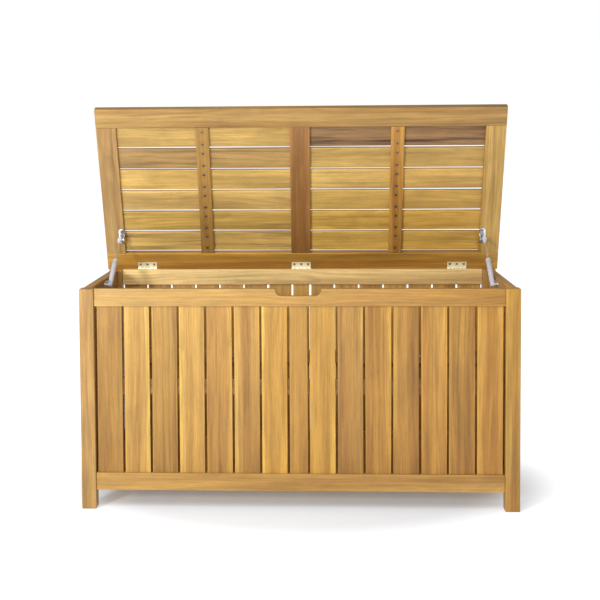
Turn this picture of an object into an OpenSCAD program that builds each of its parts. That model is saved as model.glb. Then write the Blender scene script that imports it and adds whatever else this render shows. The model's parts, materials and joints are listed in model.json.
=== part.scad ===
// Slatted wooden deck storage box with a hinged lid, held open by two gas struts.
// Millimetres, +Z up, front towards -Y. The lid is drawn open.

/* [Box] */
// Width over the corner posts
box_w = 1200; // [1180:10:1260]
// Depth over the corner posts
box_d = 530; // [500:5:600]
// Height of the rim above the ground
box_h = 610; // [560:5:680]
// Side of the square corner posts
post_w = 40; // [36:1:46]
// Height of the feet below the bottom rails
foot_h = 52; // [40:1:80]
// Chamfer along the edges of posts and rails
ease = 1.5; // [0.5:0.1:3]

/* [Rails] */
// Height of the top and bottom rails
rail_h = 48; // [42:1:60]
// Thickness of the rails
rail_t = 22; // [20:1:25]
// Set-back of the rails from the outer face of the posts
rail_inset = 5; // [3:0.5:6]
// Width of the finger notch at the rim
notch_w = 126; // [90:2:160]
// Depth of the finger notch
notch_d = 20; // [14:1:24]
// Radius of the notch's bottom corners
notch_r = 18; // [8:1:20]

/* [Wall slats] */
// Width of the wide front and back slats
slat_w = 70; // [68:0.5:70.5]
// Width of the narrow centre slat
centre_slat_w = 50; // [44:1:56]
// Thickness of the wall slats
slat_t = 12; // [10:0.5:13]
// Depth of the grooves that hold the slats
groove_d = 10; // [6:1:14]
// Number of slats in each side wall
side_slats = 6; // [5:1:7]
// Height of the inner battens
inner_batten_h = 42; // [30:1:60]
// Height of the inner battens' middle above the ground
inner_batten_z = 337; // [300:1:380]

/* [Floor] */
// Number of floor slats
floor_slats = 14; // [12:1:14]
// Width of the floor slats
floor_slat_w = 70; // [60:1:74]
// Height of the floor's top face above the lower edge of the bottom rails
floor_rise = 30; // [28:1:40]

/* [Lid] */
// Angle the lid opens to
lid_open = 67; // [60:1:75]
// Thickness of the lid's frame
lid_t = 22; // [20:1:26]
// Width of the lid's rails and stiles
lid_rail_w = 60; // [56:1:70]
// Overhang of the lid past the posts at each side
lid_side = 9.5; // [5:0.5:20]
// Overhang of the lid past the posts at the front
lid_front = 8; // [5:0.5:20]
// Reach of the lid behind the hinge line
lid_rear = 5; // [5:0.5:7]
// Number of lid slats in each bay
lid_slats = 6; // [5:1:7]
// Gap between lid slats
lid_gap = 6.3; // [4:0.1:8]
// Depth of the slats below the frame's underside
lid_recess = 9; // [7:0.5:9]
// Width of the two lid battens
batten_w = 40; // [32:1:50]
// Distance of the lid battens from the middle
batten_x = 291; // [240:1:340]

/* [Hinges] */
// Width of each hinge
hinge_w = 60; // [50:1:80]
// Length of a leaf from the pin to its edge
leaf_l = 22; // [20:0.5:22]
// Distance of the outer hinges from the middle
hinge_x = 484; // [400:1:500]
// Radius of the hinge pins
pin_r = 1.5; // [1.2:0.1:1.8]

/* [Gas struts] */
// Distance of the struts from the inner faces of the side rails
strut_gap = 12.5; // [12:0.5:13]
// Distance from the hinge line to the lid's ball studs, along the lid
stud_s = 112; // [108:1:116]
// Depth of the ball studs' balls below the lid
stud_n = 20; // [19:0.5:22]
// Distance of the lower pivots from the hinge line, along the box
pivot_back = 256.5; // [252:0.5:262]
// Depth of the lower pivots below the hinge line
pivot_drop = 21; // [19:0.5:24]
// Radius of the strut's cylinder
cylinder_r = 7.5; // [7:0.5:8]
// Length of the cylinder from its pivot to its shoulder
cylinder_l = 122; // [118:1:124]
// Radius of the strut's rod
rod_r = 3; // [2.5:0.5:3.5]

/* [Hidden] */

$fn = 48;
fit = 0.1;       // clearance of a slat in its groove and of a screw in its hole
over = 1;        // how far a cut runs past a face

// Hinge line, measured from the middle of the box's depth
pin_back = box_d / 2 - 0.5;
pin_z = box_h + 1;

// The open lid reaches further back than the posts, so the box stands in front of the origin
lid_reach = pin_back + lid_rear * cos(lid_open) + lid_t * sin(lid_open);
box_mid = -(lid_reach - box_d / 2) / 2;
y_front = box_mid - box_d / 2;
y_back = box_mid + box_d / 2;
pin_y = box_mid + pin_back;

// Frame of the box
x_inner = box_w / 2 - post_w;
y_inner_front = y_front + post_w;
y_inner_back = y_back - post_w;
bottom_rail = [foot_h, foot_h + rail_h];
top_rail = [box_h - rail_h, box_h];
front_rail = [y_front + rail_inset, y_front + rail_inset + rail_t];
back_rail = [y_back - rail_inset - rail_t, y_back - rail_inset];
side_rail = box_w / 2 - rail_inset - rail_t;
tenon_t = 10;
tenon_side = 7;
long_tenon = 20;
short_tenon = 15;

// Wall slats
slat_gap = (2 * x_inner - 14 * slat_w - centre_slat_w) / 16;
side_slat_w = (box_d - 2 * post_w - (side_slats + 1) * slat_gap) / side_slats;
slat_z = [foot_h + rail_h - groove_d + fit, box_h - rail_h + groove_d - fit];
front_slat = front_rail[0] + rail_t / 2;
back_slat = back_rail[0] + rail_t / 2;
inner_batten_t = 12;

// Floor
floor_z = foot_h + floor_rise;
floor_t = 12;
ledger_h = 16;
ledger_t = 22;
stretcher_w = 45;
stretcher_h = 20;

// Lid, in its own frame: s runs from the hinge line to the front, n up from the underside
lid_w = box_w + 2 * lid_side;
lid_s = pin_back + box_d / 2 + lid_front;
rear_rail_s = 53;
front_rail_s = lid_s - lid_rail_w;
lid_slat_n = [lid_recess, lid_t - 2];
lid_first_s = rear_rail_s + 7;
lid_slat_w = (front_rail_s - 1.5 - lid_first_s + lid_gap) / lid_slats - lid_gap;
lid_tongue = 8;
lid_screw_pitch = 20;
batten_n = 0.5;
counterbore = 1.5;
counterbore_r = 4.2;

// Hinges and screws
leaf_t = 2;
knuckle_r = 3.6;
knuckle_gap = 0.3;
knuckles = 5;
leaf_screw_s = 14;
leaf_screw_x = 21.5;
hinge_at = [-hinge_x, 0, hinge_x];
wood_screw_r = 1.75;
wood_screw_head_r = 3.7;

// Gas struts, from the lower pivot A to the upper ball B
strut_x = side_rail - strut_gap;
pivot_y = pin_y - pivot_back;
pivot_z = pin_z - pivot_drop;
ball_y = pin_y - stud_s * cos(lid_open) - stud_n * sin(lid_open);
ball_z = pin_z + stud_s * sin(lid_open) - stud_n * cos(lid_open);
strut_l = norm([ball_y - pivot_y, ball_z - pivot_z]);
strut_tilt = atan2(ball_z - pivot_z, ball_y - pivot_y);
ball_r = 5;
ball_fit = 0.06;
stud_r = 2.2;
socket_r = 7;
socket_mouth = 5;
socket_back = 7;
socket_l = 17;
neck_r = 4.6;
rod_grip = 6;
piston_h = 8;
bore_r = cylinder_r - 1.55;
guide = 6;
shoulder = 2.5;
bracket_half = 17;
bracket_r = 10;
rod_end = cylinder_l - 28;
cylinder_foot = 9;
plate_t = 2.5;
flange_x = strut_x - 11;
upper_plate_s = 131.5;
upper_plate_r = 9.5;
upper_screw_l = 11;

oak = "#d9a860";
pale = "#c99a54";
olive = "#c6a052";
umber = "#96643a";
brass = "#cdb066";
steel = "#c9cdd2";
grey = "#b9bcc4";

// ---- Helpers -------------------------------------------------------------

// Plain block between two corners given as ranges
module block(x, y, z) {
    translate([x[0], y[0], z[0]]) cube([x[1] - x[0], y[1] - y[0], z[1] - z[0]]);
}

// Rectangle with small 45-degree corners
module eased_outline(u, v, e) {
    polygon([[u[0] + e, v[0]], [u[1] - e, v[0]], [u[1], v[0] + e], [u[1], v[1] - e],
             [u[1] - e, v[1]], [u[0] + e, v[1]], [u[0], v[1] - e], [u[0], v[0] + e]]);
}

// Boards with eased long edges, along each axis
module board_x(x, y, z, e = ease) {
    translate([x[0], 0, 0]) rotate([90, 0, 90])
        linear_extrude(x[1] - x[0]) eased_outline(y, z, e);
}
module board_y(x, y, z, e = ease) {
    translate([0, y[1], 0]) rotate([90, 0, 0])
        linear_extrude(y[1] - y[0]) eased_outline(x, z, e);
}
module board_z(x, y, z, e = ease) {
    translate([0, 0, z[0]]) linear_extrude(z[1] - z[0]) eased_outline(x, y, e);
}

// Puts a child drawn in the lid's frame (y = -s, z = n) at the open lid
module on_lid() {
    translate([0, pin_y, pin_z]) rotate([-lid_open, 0, 0]) children();
}

// Screw hole or shank along -Z from the origin
module screw_shank(l, r = wood_screw_r) {
    translate([0, 0, -l]) cylinder(h = l, r = r);
}

// Countersunk screw, its flat head level with z = 0
module flush_screw(l) {
    translate([0, 0, -2]) cylinder(h = 2, r1 = wood_screw_r, r2 = wood_screw_head_r);
    screw_shank(l);
}

// Countersunk hole for such a screw
module flush_hole(l) {
    translate([0, 0, -2])
        cylinder(h = 2.01, r1 = wood_screw_r + 2 * fit, r2 = wood_screw_head_r + 2 * fit);
    translate([0, 0, -l - fit]) cylinder(h = l, r = wood_screw_r + fit);
}

// Round-headed screw standing on z = 0
module round_screw(l, head_r) {
    cylinder(h = 1.2, r = head_r);
    translate([0, 0, 1.2]) cylinder(h = 0.9, r1 = head_r, r2 = head_r * 0.6);
    screw_shank(l);
}

// ---- Posts and rails -----------------------------------------------------

// Corner post: sx and sy are -1 or 1, with a mortise for each of its four rails, and its top
// eased along the front or back
module post(sx, sy) {
    x = sx < 0 ? [-box_w / 2, -x_inner] : [x_inner, box_w / 2];
    y = sy < 0 ? [y_front, y_inner_front] : [y_inner_back, y_back];
    color(oak) difference() {
        board_z(x, y, [0, box_h]);
        translate([x[0] - over, sy < 0 ? y_front : y_back, box_h]) rotate([45, 0, 0])
            translate([0, -ease * sqrt(0.5), -ease * sqrt(0.5)])
                cube([post_w + 2 * over, ease * sqrt(2), ease * sqrt(2)]);
        for (z = [bottom_rail, top_rail]) {
            long_rail_tenons(sy, z, fit);
            side_rail_tenons(sx, z, fit);
        }
    }
}

// Tenons at both ends of a front or back rail, grown by g for the mortises
module long_rail_tenons(sy, z, g) {
    mid = sy < 0 ? front_slat : back_slat;
    half = x_inner + long_tenon + g;
    block([-half, half], [mid - tenon_t / 2 - g, mid + tenon_t / 2 + g],
          [z[0] + tenon_side - g, z[1] - tenon_side + g]);
}

// Tenons at both ends of a side rail
module side_rail_tenons(sx, z, g) {
    mid = sx * (side_rail + rail_t / 2);
    block([mid - tenon_t / 2 - g, mid + tenon_t / 2 + g],
          [y_inner_front - short_tenon - g, y_inner_back + short_tenon + g],
          [z[0] + tenon_side - g, z[1] - tenon_side + g]);
}

// Front or back rail with tenons and a groove on the side that faces the slats
module long_rail(sy, z, groove_z) {
    y = sy < 0 ? front_rail : back_rail;
    mid = (y[0] + y[1]) / 2;
    difference() {
        union() {
            board_x([-x_inner, x_inner], y, z);
            long_rail_tenons(sy, z, 0);
        }
        block([-x_inner, x_inner], [mid - slat_t / 2 - fit, mid + slat_t / 2 + fit], groove_z);
    }
}

// Side rail with tenons and its groove
module side_rail(sx, z, groove_z) {
    x = sx < 0 ? [-side_rail - rail_t, -side_rail] : [side_rail, side_rail + rail_t];
    mid = (x[0] + x[1]) / 2;
    difference() {
        union() {
            board_y(x, [y_inner_front, y_inner_back], z);
            side_rail_tenons(sx, z, 0);
        }
        block([mid - slat_t / 2 - fit, mid + slat_t / 2 + fit],
              [y_inner_front, y_inner_back], groove_z);
    }
}

top_groove = [top_rail[0] - over, top_rail[0] + groove_d];
bottom_groove = [bottom_rail[1] - groove_d, bottom_rail[1] + over];

// Finger notch: a bay in the rim with rounded bottom corners
module finger_notch() {
    bottom = box_h - notch_d;
    y = [front_rail[0] - over, front_rail[1] + over];
    flat = notch_w / 2 - notch_r;
    block([-flat, flat], y, [bottom, box_h + over]);
    block([-notch_w / 2, notch_w / 2], y, [bottom + notch_r, box_h + over]);
    for (s = [-1, 1])
        translate([s * flat, y[0], bottom + notch_r]) rotate([-90, 0, 0])
            cylinder(h = y[1] - y[0], r = notch_r);
}

module front_top_rail() {
    color(oak) difference() {
        long_rail(-1, top_rail, top_groove);
        finger_notch();
    }
}

module back_top_rail() {
    color(oak) difference() {
        long_rail(1, top_rail, top_groove);
        for (x = hinge_at) {
            block([x - hinge_w / 2 - 1, x + hinge_w / 2 + 1],
                  [pin_y - leaf_l - fit, y_back], [box_h - leaf_t, box_h + over]);
            for (sx = [-1:1]) translate([x + sx * leaf_screw_x, pin_y - leaf_screw_s, box_h])
                screw_shank(16, wood_screw_r + fit);
        }
    }
}

// ---- Walls ---------------------------------------------------------------

// Left edge and width of front or back slat i of 0 to 14, the eighth being narrow
function slat_x(i) = -x_inner + slat_gap + i * (slat_w + slat_gap)
    + (i > 7 ? centre_slat_w - slat_w : 0);
function slat_width(i) = i == 7 ? centre_slat_w : slat_w;

module long_wall(sy) {
    y = sy < 0 ? front_slat : back_slat;
    color(pale) difference() {
        for (i = [0:14])
            board_z([slat_x(i), slat_x(i) + slat_width(i)], [y - slat_t / 2, y + slat_t / 2],
                    slat_z, 1);
        inner_screws(sy) screw_shank(inner_batten_t + 9, wood_screw_r + fit);
    }
}

module side_wall(sx) {
    mid = sx * (side_rail + rail_t / 2);
    color(pale) for (i = [0:side_slats - 1]) {
        y = y_inner_front + slat_gap + i * (side_slat_w + slat_gap);
        board_z([mid - slat_t / 2, mid + slat_t / 2], [y, y + side_slat_w], slat_z, 1);
    }
}

// Batten across the inside of the front (sy = -1) or back (sy = 1) slats
module inner_batten(sy) {
    face = sy < 0 ? front_slat + slat_t / 2 : back_slat - slat_t / 2;
    y = sy < 0 ? [face, face + inner_batten_t] : [face - inner_batten_t, face];
    color(pale) difference() {
        board_x([-x_inner + 5, x_inner - 5], y,
                [inner_batten_z - inner_batten_h / 2, inner_batten_z + inner_batten_h / 2]);
        inner_screws(sy) screw_shank(inner_batten_t + over, wood_screw_r + fit);
    }
}

// One fastener place in the middle of every slat, on the batten's inner face, pointing in
module inner_screws(sy) {
    face = sy < 0 ? front_slat + slat_t / 2 + inner_batten_t
                  : back_slat - slat_t / 2 - inner_batten_t;
    for (i = [0:14])
        translate([slat_x(i) + slat_width(i) / 2, face, inner_batten_z])
            rotate([sy < 0 ? -90 : 90, 0, 0]) children();
}

module inner_batten_screws() {
    color(brass) for (sy = [-1, 1]) inner_screws(sy) round_screw(inner_batten_t + 8, 3.5);
}

// ---- Floor ---------------------------------------------------------------

module floor_ledger(sy) {
    y = sy < 0 ? [front_rail[1], front_rail[1] + ledger_t]
               : [back_rail[0] - ledger_t, back_rail[0]];
    color(pale) board_x([-x_inner + 1, x_inner - 1], y,
                        [floor_z - floor_t - ledger_h, floor_z - floor_t]);
}

module floor_stretcher() {
    color(pale) board_x([-side_rail, side_rail],
                        [box_mid - stretcher_w / 2, box_mid + stretcher_w / 2],
                        [floor_z - floor_t - stretcher_h, floor_z - floor_t]);
}

module floor_slats_row() {
    pitch = 2 * x_inner / floor_slats;
    color(pale) for (i = [0:floor_slats - 1]) {
        x = -x_inner + pitch * (i + 0.5);
        board_y([x - floor_slat_w / 2, x + floor_slat_w / 2],
                [front_rail[1] + 1, back_rail[0] - 1], [floor_z - floor_t, floor_z], 1);
    }
}

// ---- Lid -----------------------------------------------------------------

// Lid rail across the full width, between the two distances s from the hinge line
module lid_rail(s) {
    board_x([-lid_w / 2, lid_w / 2], [-s[1], -s[0]], [0, lid_t]);
}

// Tenons of the three stiles, reaching into both lid rails
module stile_tenons(g) {
    for (x = [-1, 0, 1] * (lid_w - lid_rail_w) / 2)
        block([x - lid_rail_w / 2 + 12 - g, x + lid_rail_w / 2 - 12 + g],
              [-front_rail_s - long_tenon - g, -rear_rail_s + long_tenon + g],
              [lid_t / 2 - 4 - g, lid_t / 2 + 4 + g]);
}

module lid_front_rail() {
    color(oak) on_lid() difference() {
        lid_rail([front_rail_s, lid_s]);
        stile_tenons(fit);
    }
}

module lid_rear_rail() {
    color(oak) on_lid() difference() {
        lid_rail([-lid_rear, rear_rail_s]);
        stile_tenons(fit);
        for (x = hinge_at) {
            block([x - hinge_w / 2 - 1, x + hinge_w / 2 + 1],
                  [-leaf_l - fit, lid_rear + over], [-over, leaf_t]);
            block([x - hinge_w / 2 - 1, x + hinge_w / 2 + 1],
                  [-knuckle_r - 0.6, lid_rear + over], [-over, knuckle_r + 0.6]);
            for (sx = [-1:1]) translate([x + sx * leaf_screw_x, -leaf_screw_s, 0])
                rotate([180, 0, 0]) screw_shank(16, wood_screw_r + fit);
        }
    }
}

// Lid stile centred at x, grooved for slats on the sides named by -1 and 1
module lid_stile(x, sides) {
    edge = lid_rail_w / 2;
    color(x == 0 ? umber : oak) on_lid() difference() {
        union() {
            board_y([x - edge, x + edge], [-front_rail_s, -rear_rail_s], [0, lid_t]);
            intersection() {
                stile_tenons(0);
                block([x - edge, x + edge], [-lid_s, 0], [0, lid_t]);
            }
        }
        for (side = sides)
            block(side < 0 ? [x - edge - over, x - edge + lid_tongue]
                           : [x + edge - lid_tongue, x + edge + over],
                  [-front_rail_s, -rear_rail_s], [lid_slat_n[0] - fit, lid_slat_n[1] + fit]);
        if (x != 0) sided(x) upper_bracket_places()
            screw_shank(upper_screw_l + 2 * fit, wood_screw_r + fit);
    }
}

// Nearest edge of lid slat i to the hinge line
function lid_slat_s(i) = lid_first_s + i * (lid_slat_w + lid_gap);

module lid_bay(side) {
    inner = lid_rail_w / 2 - lid_tongue + fit;
    outer = lid_w / 2 - lid_rail_w + lid_tongue - fit;
    x = side < 0 ? [-outer, -inner] : [inner, outer];
    color(olive) on_lid() difference() {
        for (i = [0:lid_slats - 1])
            board_x(x, [-lid_slat_s(i) - lid_slat_w, -lid_slat_s(i)], lid_slat_n, 1);
        lid_batten_fasteners(side) screw_shank(lid_recess + 6, wood_screw_r + fit);
    }
}

module lid_batten(side) {
    x = side * batten_x;
    color(umber) on_lid() difference() {
        board_y([x - batten_w / 2, x + batten_w / 2],
                [-front_rail_s + 1, -rear_rail_s - 1], [batten_n, lid_recess]);
        lid_batten_fasteners(side) {
            flush_hole(lid_recess);
            translate([0, 0, -0.01]) cylinder(h = counterbore + over, r = counterbore_r);
        }
    }
}

// Two fasteners per slat, at the foot of the counterbores in the lid batten's underside
module lid_batten_fasteners(side) {
    for (i = [0:lid_slats - 1], k = [-1, 1])
        translate([side * batten_x, -lid_slat_s(i) - lid_slat_w / 2 - k * lid_screw_pitch,
                   batten_n + counterbore])
            rotate([180, 0, 0]) children();
}

module lid_batten_screws() {
    color(brass) on_lid() for (side = [-1, 1])
        lid_batten_fasteners(side) translate([0, 0, -0.1]) flush_screw(lid_recess + 4);
}

// ---- Hinges --------------------------------------------------------------

// Knuckle k of 0 to 4 of the hinge at x, as a solid of radius r
module knuckle(x, k, r) {
    pitch = hinge_w / knuckles;
    translate([x - hinge_w / 2 + k * pitch + knuckle_gap / 2, 0, 0]) rotate([0, 90, 0])
        cylinder(h = pitch - knuckle_gap, r = r);
}

// Leaf lying along -y from the pin, its visible face at z = face, with its own knuckles
module leaf(x, own, z, face_up) {
    pitch = hinge_w / knuckles;
    head = face_up ? 0 : 180;
    face = face_up ? z[1] : z[0];
    difference() {
        union() {
            block([x - hinge_w / 2, x + hinge_w / 2], [-leaf_l, -knuckle_r - 0.4], z);
            for (k = own) {
                left = x - hinge_w / 2 + k * pitch + knuckle_gap / 2;
                block([left, left + pitch - knuckle_gap], [-knuckle_r - 0.4, 0], z);
                knuckle(x, k, knuckle_r);
            }
        }
        translate([x - hinge_w / 2 - over, 0, 0]) rotate([0, 90, 0])
            cylinder(h = hinge_w + 2 * over, r = pin_r + 0.06);
        for (sx = [-1:1]) translate([x + sx * leaf_screw_x, -leaf_screw_s, face])
            rotate([head, 0, 0]) flush_hole(leaf_t + over);
    }
}

module hinge_leaves_lower() {
    color(brass) translate([0, pin_y, pin_z]) for (x = hinge_at)
        leaf(x, [0, 2, 4], [box_h - leaf_t - pin_z, box_h - pin_z], true);
}

module hinge_leaves_upper() {
    color(brass) on_lid() for (x = hinge_at) leaf(x, [1, 3], [0, leaf_t], false);
}

module hinge_pins() {
    color(brass) for (x = hinge_at)
        translate([x - hinge_w / 2 - 0.8, pin_y, pin_z]) rotate([0, 90, 0])
            cylinder(h = hinge_w + 1.6, r = pin_r);
}

module hinge_screws_lower() {
    color(brass) for (x = hinge_at, sx = [-1:1])
        translate([x + sx * leaf_screw_x, pin_y - leaf_screw_s, box_h - 0.1]) flush_screw(15);
}

module hinge_screws_upper() {
    color(brass) on_lid() for (x = hinge_at, sx = [-1:1])
        translate([x + sx * leaf_screw_x, -leaf_screw_s, 0.1])
            rotate([180, 0, 0]) flush_screw(15);
}

// ---- Gas struts ----------------------------------------------------------

// Draws a right-hand piece on its own side: side is -1 for left and 1 for right
module sided(side) {
    if (side < 0) mirror([1, 0, 0]) children();
    else children();
}

// Puts a child drawn along +Z from the lower pivot onto the right-hand strut
module on_strut() {
    translate([strut_x, pivot_y, pivot_z]) rotate([strut_tilt - 90, 0, 0]) children();
}

// Cylinder along +X, from x to x + l, centred on y and z
module rod_x(x, y, z, l, r) {
    translate([x, y, z]) rotate([0, 90, 0]) cylinder(h = l, r = r);
}

// Ball of a stud along the x direction
module ball(x, y, z) {
    translate([x, y, z]) rotate([0, 90, 0]) sphere(r = ball_r);
}

// Places of the two screws of an upper bracket, in the lid's frame, pointing out of the lid
module upper_bracket_places() {
    for (s = [upper_plate_s, upper_plate_s - 35])
        translate([strut_x - 3.5, -s, -plate_t]) rotate([180, 0, 0]) children();
}

// Angle bracket under the lid: a plate with a round end, a round-nosed flange and a ball stud
module strut_bracket_upper(side) {
    plate_x = strut_x - 3.5;
    nose = 9;
    color(steel) on_lid() sided(side) difference() {
        union() {
            block([flange_x - plate_t, plate_x + upper_plate_r],
                  [-upper_plate_s, -upper_plate_s + 42], [-plate_t, 0]);
            translate([plate_x, -upper_plate_s, -plate_t])
                cylinder(h = plate_t, r = upper_plate_r);
            block([flange_x - plate_t, flange_x], [-stud_s - nose, -stud_s + nose], [-stud_n, 0]);
            rod_x(flange_x - plate_t, -stud_s, -stud_n, plate_t, nose);
            rod_x(flange_x - 1, -stud_s, -stud_n, strut_x - flange_x + 1, stud_r);
            ball(strut_x, -stud_s, -stud_n);
        }
        upper_bracket_places() screw_shank(plate_t + over, wood_screw_r + fit);
    }
}

module strut_screws_upper() {
    color(steel) on_lid() for (side = [-1, 1])
        sided(side) upper_bracket_places() round_screw(upper_screw_l, 6);
}

// Cup of a ball socket round the origin, open towards x = open, with a neck to z = end
module socket_body(open, end) {
    rod_x(open < 0 ? -socket_mouth : -socket_back, 0, 0, socket_mouth + socket_back, socket_r);
    translate([0, 0, min(0, end)]) cylinder(h = abs(end), r = neck_r);
}

// Hollow of such a cup, in which the ball sits
module socket_hollow(open) {
    depth = socket_mouth + over + ball_r + ball_fit;
    rod_x(open < 0 ? -socket_mouth - over : -ball_r - ball_fit, 0, 0, depth, ball_r + ball_fit);
}

// Socket on the rod's end, its neck running down the strut
module strut_socket(side) {
    color(grey) sided(side) on_strut() translate([0, 0, strut_l]) difference() {
        socket_body(-1, -socket_l);
        socket_hollow(-1);
        translate([0, 0, -socket_l - over]) cylinder(h = rod_grip + over, r = rod_r);
    }
}

// Rod with the piston on its inner end
module strut_rod(side) {
    color(steel) sided(side) on_strut() {
        translate([0, 0, rod_end]) cylinder(h = strut_l - socket_l + rod_grip - rod_end, r = rod_r);
        translate([0, 0, rod_end]) cylinder(h = piston_h, r = bore_r - 0.05);
    }
}

// Pressure tube with a rolled shoulder, a guide for the rod and a lower ball socket
module strut_cylinder(side) {
    color(grey) sided(side) on_strut() difference() {
        union() {
            translate([0, 0, cylinder_foot])
                cylinder(h = cylinder_l - cylinder_foot - shoulder, r = cylinder_r);
            translate([0, 0, cylinder_l - shoulder])
                cylinder(h = shoulder, r1 = cylinder_r, r2 = cylinder_r - shoulder);
            socket_body(1, cylinder_foot + 1);
        }
        translate([0, 0, cylinder_foot + 2])
            cylinder(h = cylinder_l - guide - cylinder_foot - 2, r = bore_r);
        translate([0, 0, cylinder_l - guide - over])
            cylinder(h = guide + 2 * over, r = rod_r + 0.05);
        socket_hollow(1);
    }
}

// Ball stud that rides in the cylinder's lower socket, its foot just off the bracket
module strut_stud(side) {
    reach = side_rail - plate_t - 0.3 - strut_x;
    color(steel) sided(side) {
        ball(strut_x, pivot_y, pivot_z);
        rod_x(strut_x, pivot_y, pivot_z, reach, stud_r);
        rod_x(strut_x + reach - 2, pivot_y, pivot_z, 2, 5.5);
    }
}

// Places of the screws of a lower bracket, on its inner face
module lower_bracket_places() {
    for (dy = [-bracket_half, bracket_half])
        translate([side_rail - plate_t, pivot_y + dy, pivot_z + 1])
            rotate([0, -90, 0]) children();
}

// Plate with round ends on the side rail, behind the lower pivot
module strut_bracket_lower(side) {
    x = [side_rail - plate_t, side_rail];
    color(steel) sided(side) difference() {
        union() {
            block(x, [pivot_y - bracket_half, pivot_y + bracket_half],
                  [pivot_z + 1 - bracket_r, pivot_z + 1 + bracket_r]);
            for (dy = [-bracket_half, bracket_half])
                rod_x(x[0], pivot_y + dy, pivot_z + 1, plate_t, bracket_r);
        }
        lower_bracket_places() flush_hole(plate_t + over);
    }
}

module strut_screws_lower() {
    color(steel) for (side = [-1, 1]) sided(side) lower_bracket_places()
        translate([0, 0, -0.1]) flush_screw(15);
}

// Side rails drilled for the lower brackets
module side_top_rail(sx) {
    color(oak) difference() {
        side_rail(sx, top_rail, top_groove);
        sided(sx) lower_bracket_places() screw_shank(19, wood_screw_r + fit);
    }
}

// ---- Nodes ---------------------------------------------------------------

module post_front_left() { post(-1, -1); }
module post_front_right() { post(1, -1); }
module post_back_left() { post(-1, 1); }
module post_back_right() { post(1, 1); }
module front_bottom_rail() { color(oak) long_rail(-1, bottom_rail, bottom_groove); }
module back_bottom_rail() { color(oak) long_rail(1, bottom_rail, bottom_groove); }
module left_bottom_rail() { color(oak) side_rail(-1, bottom_rail, bottom_groove); }
module right_bottom_rail() { color(oak) side_rail(1, bottom_rail, bottom_groove); }

post_front_left();
post_front_right();
post_back_left();
post_back_right();
front_top_rail();
front_bottom_rail();
back_top_rail();
back_bottom_rail();
side_top_rail(-1);  // left_top_rail
left_bottom_rail();
side_top_rail(1);  // right_top_rail
right_bottom_rail();
long_wall(-1);  // front_slats
long_wall(1);  // back_slats
side_wall(-1);  // left_slats
side_wall(1);  // right_slats
inner_batten(-1);  // front_inner_batten
inner_batten(1);  // back_inner_batten
inner_batten_screws();
floor_ledger(-1);  // front_floor_ledger
floor_ledger(1);  // back_floor_ledger
floor_stretcher();
floor_slats_row();
lid_front_rail();
lid_rear_rail();
lid_stile(-(lid_w - lid_rail_w) / 2, [1]);  // lid_left_stile
lid_stile((lid_w - lid_rail_w) / 2, [-1]);  // lid_right_stile
lid_stile(0, [-1, 1]);  // lid_centre_stile
lid_bay(-1);  // lid_slats_left
lid_bay(1);  // lid_slats_right
lid_batten(-1);  // lid_batten_left
lid_batten(1);  // lid_batten_right
lid_batten_screws();
hinge_leaves_lower();
hinge_leaves_upper();
hinge_pins();
hinge_screws_lower();
hinge_screws_upper();
strut_bracket_upper(-1);  // strut_bracket_upper_left
strut_bracket_upper(1);  // strut_bracket_upper_right
strut_screws_upper();
strut_bracket_lower(-1);  // strut_bracket_lower_left
strut_bracket_lower(1);  // strut_bracket_lower_right
strut_screws_lower();
strut_rod(-1);  // strut_rod_left
strut_rod(1);  // strut_rod_right
strut_socket(-1);  // strut_socket_left
strut_socket(1);  // strut_socket_right
strut_cylinder(-1);  // strut_cylinder_left
strut_cylinder(1);  // strut_cylinder_right
strut_stud(-1);  // strut_stud_left
strut_stud(1);  // strut_stud_right
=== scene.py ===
"""Slatted deck storage box with a hinged lid: boards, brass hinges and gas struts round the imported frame."""

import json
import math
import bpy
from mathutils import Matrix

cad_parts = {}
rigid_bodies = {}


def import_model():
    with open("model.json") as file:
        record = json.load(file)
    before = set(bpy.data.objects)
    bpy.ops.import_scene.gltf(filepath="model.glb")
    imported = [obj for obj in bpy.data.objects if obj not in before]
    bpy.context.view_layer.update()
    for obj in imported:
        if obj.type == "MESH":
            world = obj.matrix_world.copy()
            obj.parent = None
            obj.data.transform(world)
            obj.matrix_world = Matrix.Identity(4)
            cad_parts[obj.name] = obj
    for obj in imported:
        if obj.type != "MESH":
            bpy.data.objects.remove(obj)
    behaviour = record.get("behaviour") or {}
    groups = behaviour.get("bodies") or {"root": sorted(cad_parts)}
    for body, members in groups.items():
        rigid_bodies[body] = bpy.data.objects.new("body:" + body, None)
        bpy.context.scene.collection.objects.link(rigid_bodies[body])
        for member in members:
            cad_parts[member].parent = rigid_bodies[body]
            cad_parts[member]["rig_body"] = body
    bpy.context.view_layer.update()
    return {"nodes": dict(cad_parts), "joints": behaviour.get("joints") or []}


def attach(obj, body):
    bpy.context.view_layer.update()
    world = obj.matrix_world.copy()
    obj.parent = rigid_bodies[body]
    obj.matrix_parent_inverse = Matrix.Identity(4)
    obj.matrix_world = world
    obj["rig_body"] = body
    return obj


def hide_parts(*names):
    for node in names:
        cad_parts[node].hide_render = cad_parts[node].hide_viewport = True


bl_info = {
    "name": "Slatted deck storage box",
    "version": (1, 0, 0),
    "blender": (4, 5, 0),
    "location": "View3D > Sidebar > Deck box",
    "description": "Builds the boards, hinges, struts and studio of a slatted deck storage box",
    "category": "Object",
}

import bpy
import numpy as np
from bpy.props import FloatProperty, FloatVectorProperty, PointerProperty
from mathutils import Matrix, Vector

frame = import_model()

JOINTS = {joint["name"]: joint for joint in frame["joints"]}
HINGE_LINE = np.array(JOINTS["lid_hinge"]["pos_m"])
LID_OPEN = math.radians(JOINTS["lid_hinge"]["range_deg"][1])
MM = 0.001
SIDES = {"left": -1, "right": 1}
MATERIALS = {}

# an edge sharper than this between two faces is drawn sharp
SHARP_FROM = math.radians(38)
# how dark the painted shade is on the narrow sides of the wall slats, in the gaps between them, as a rim value
GAP_SHADE = -0.85
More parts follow.
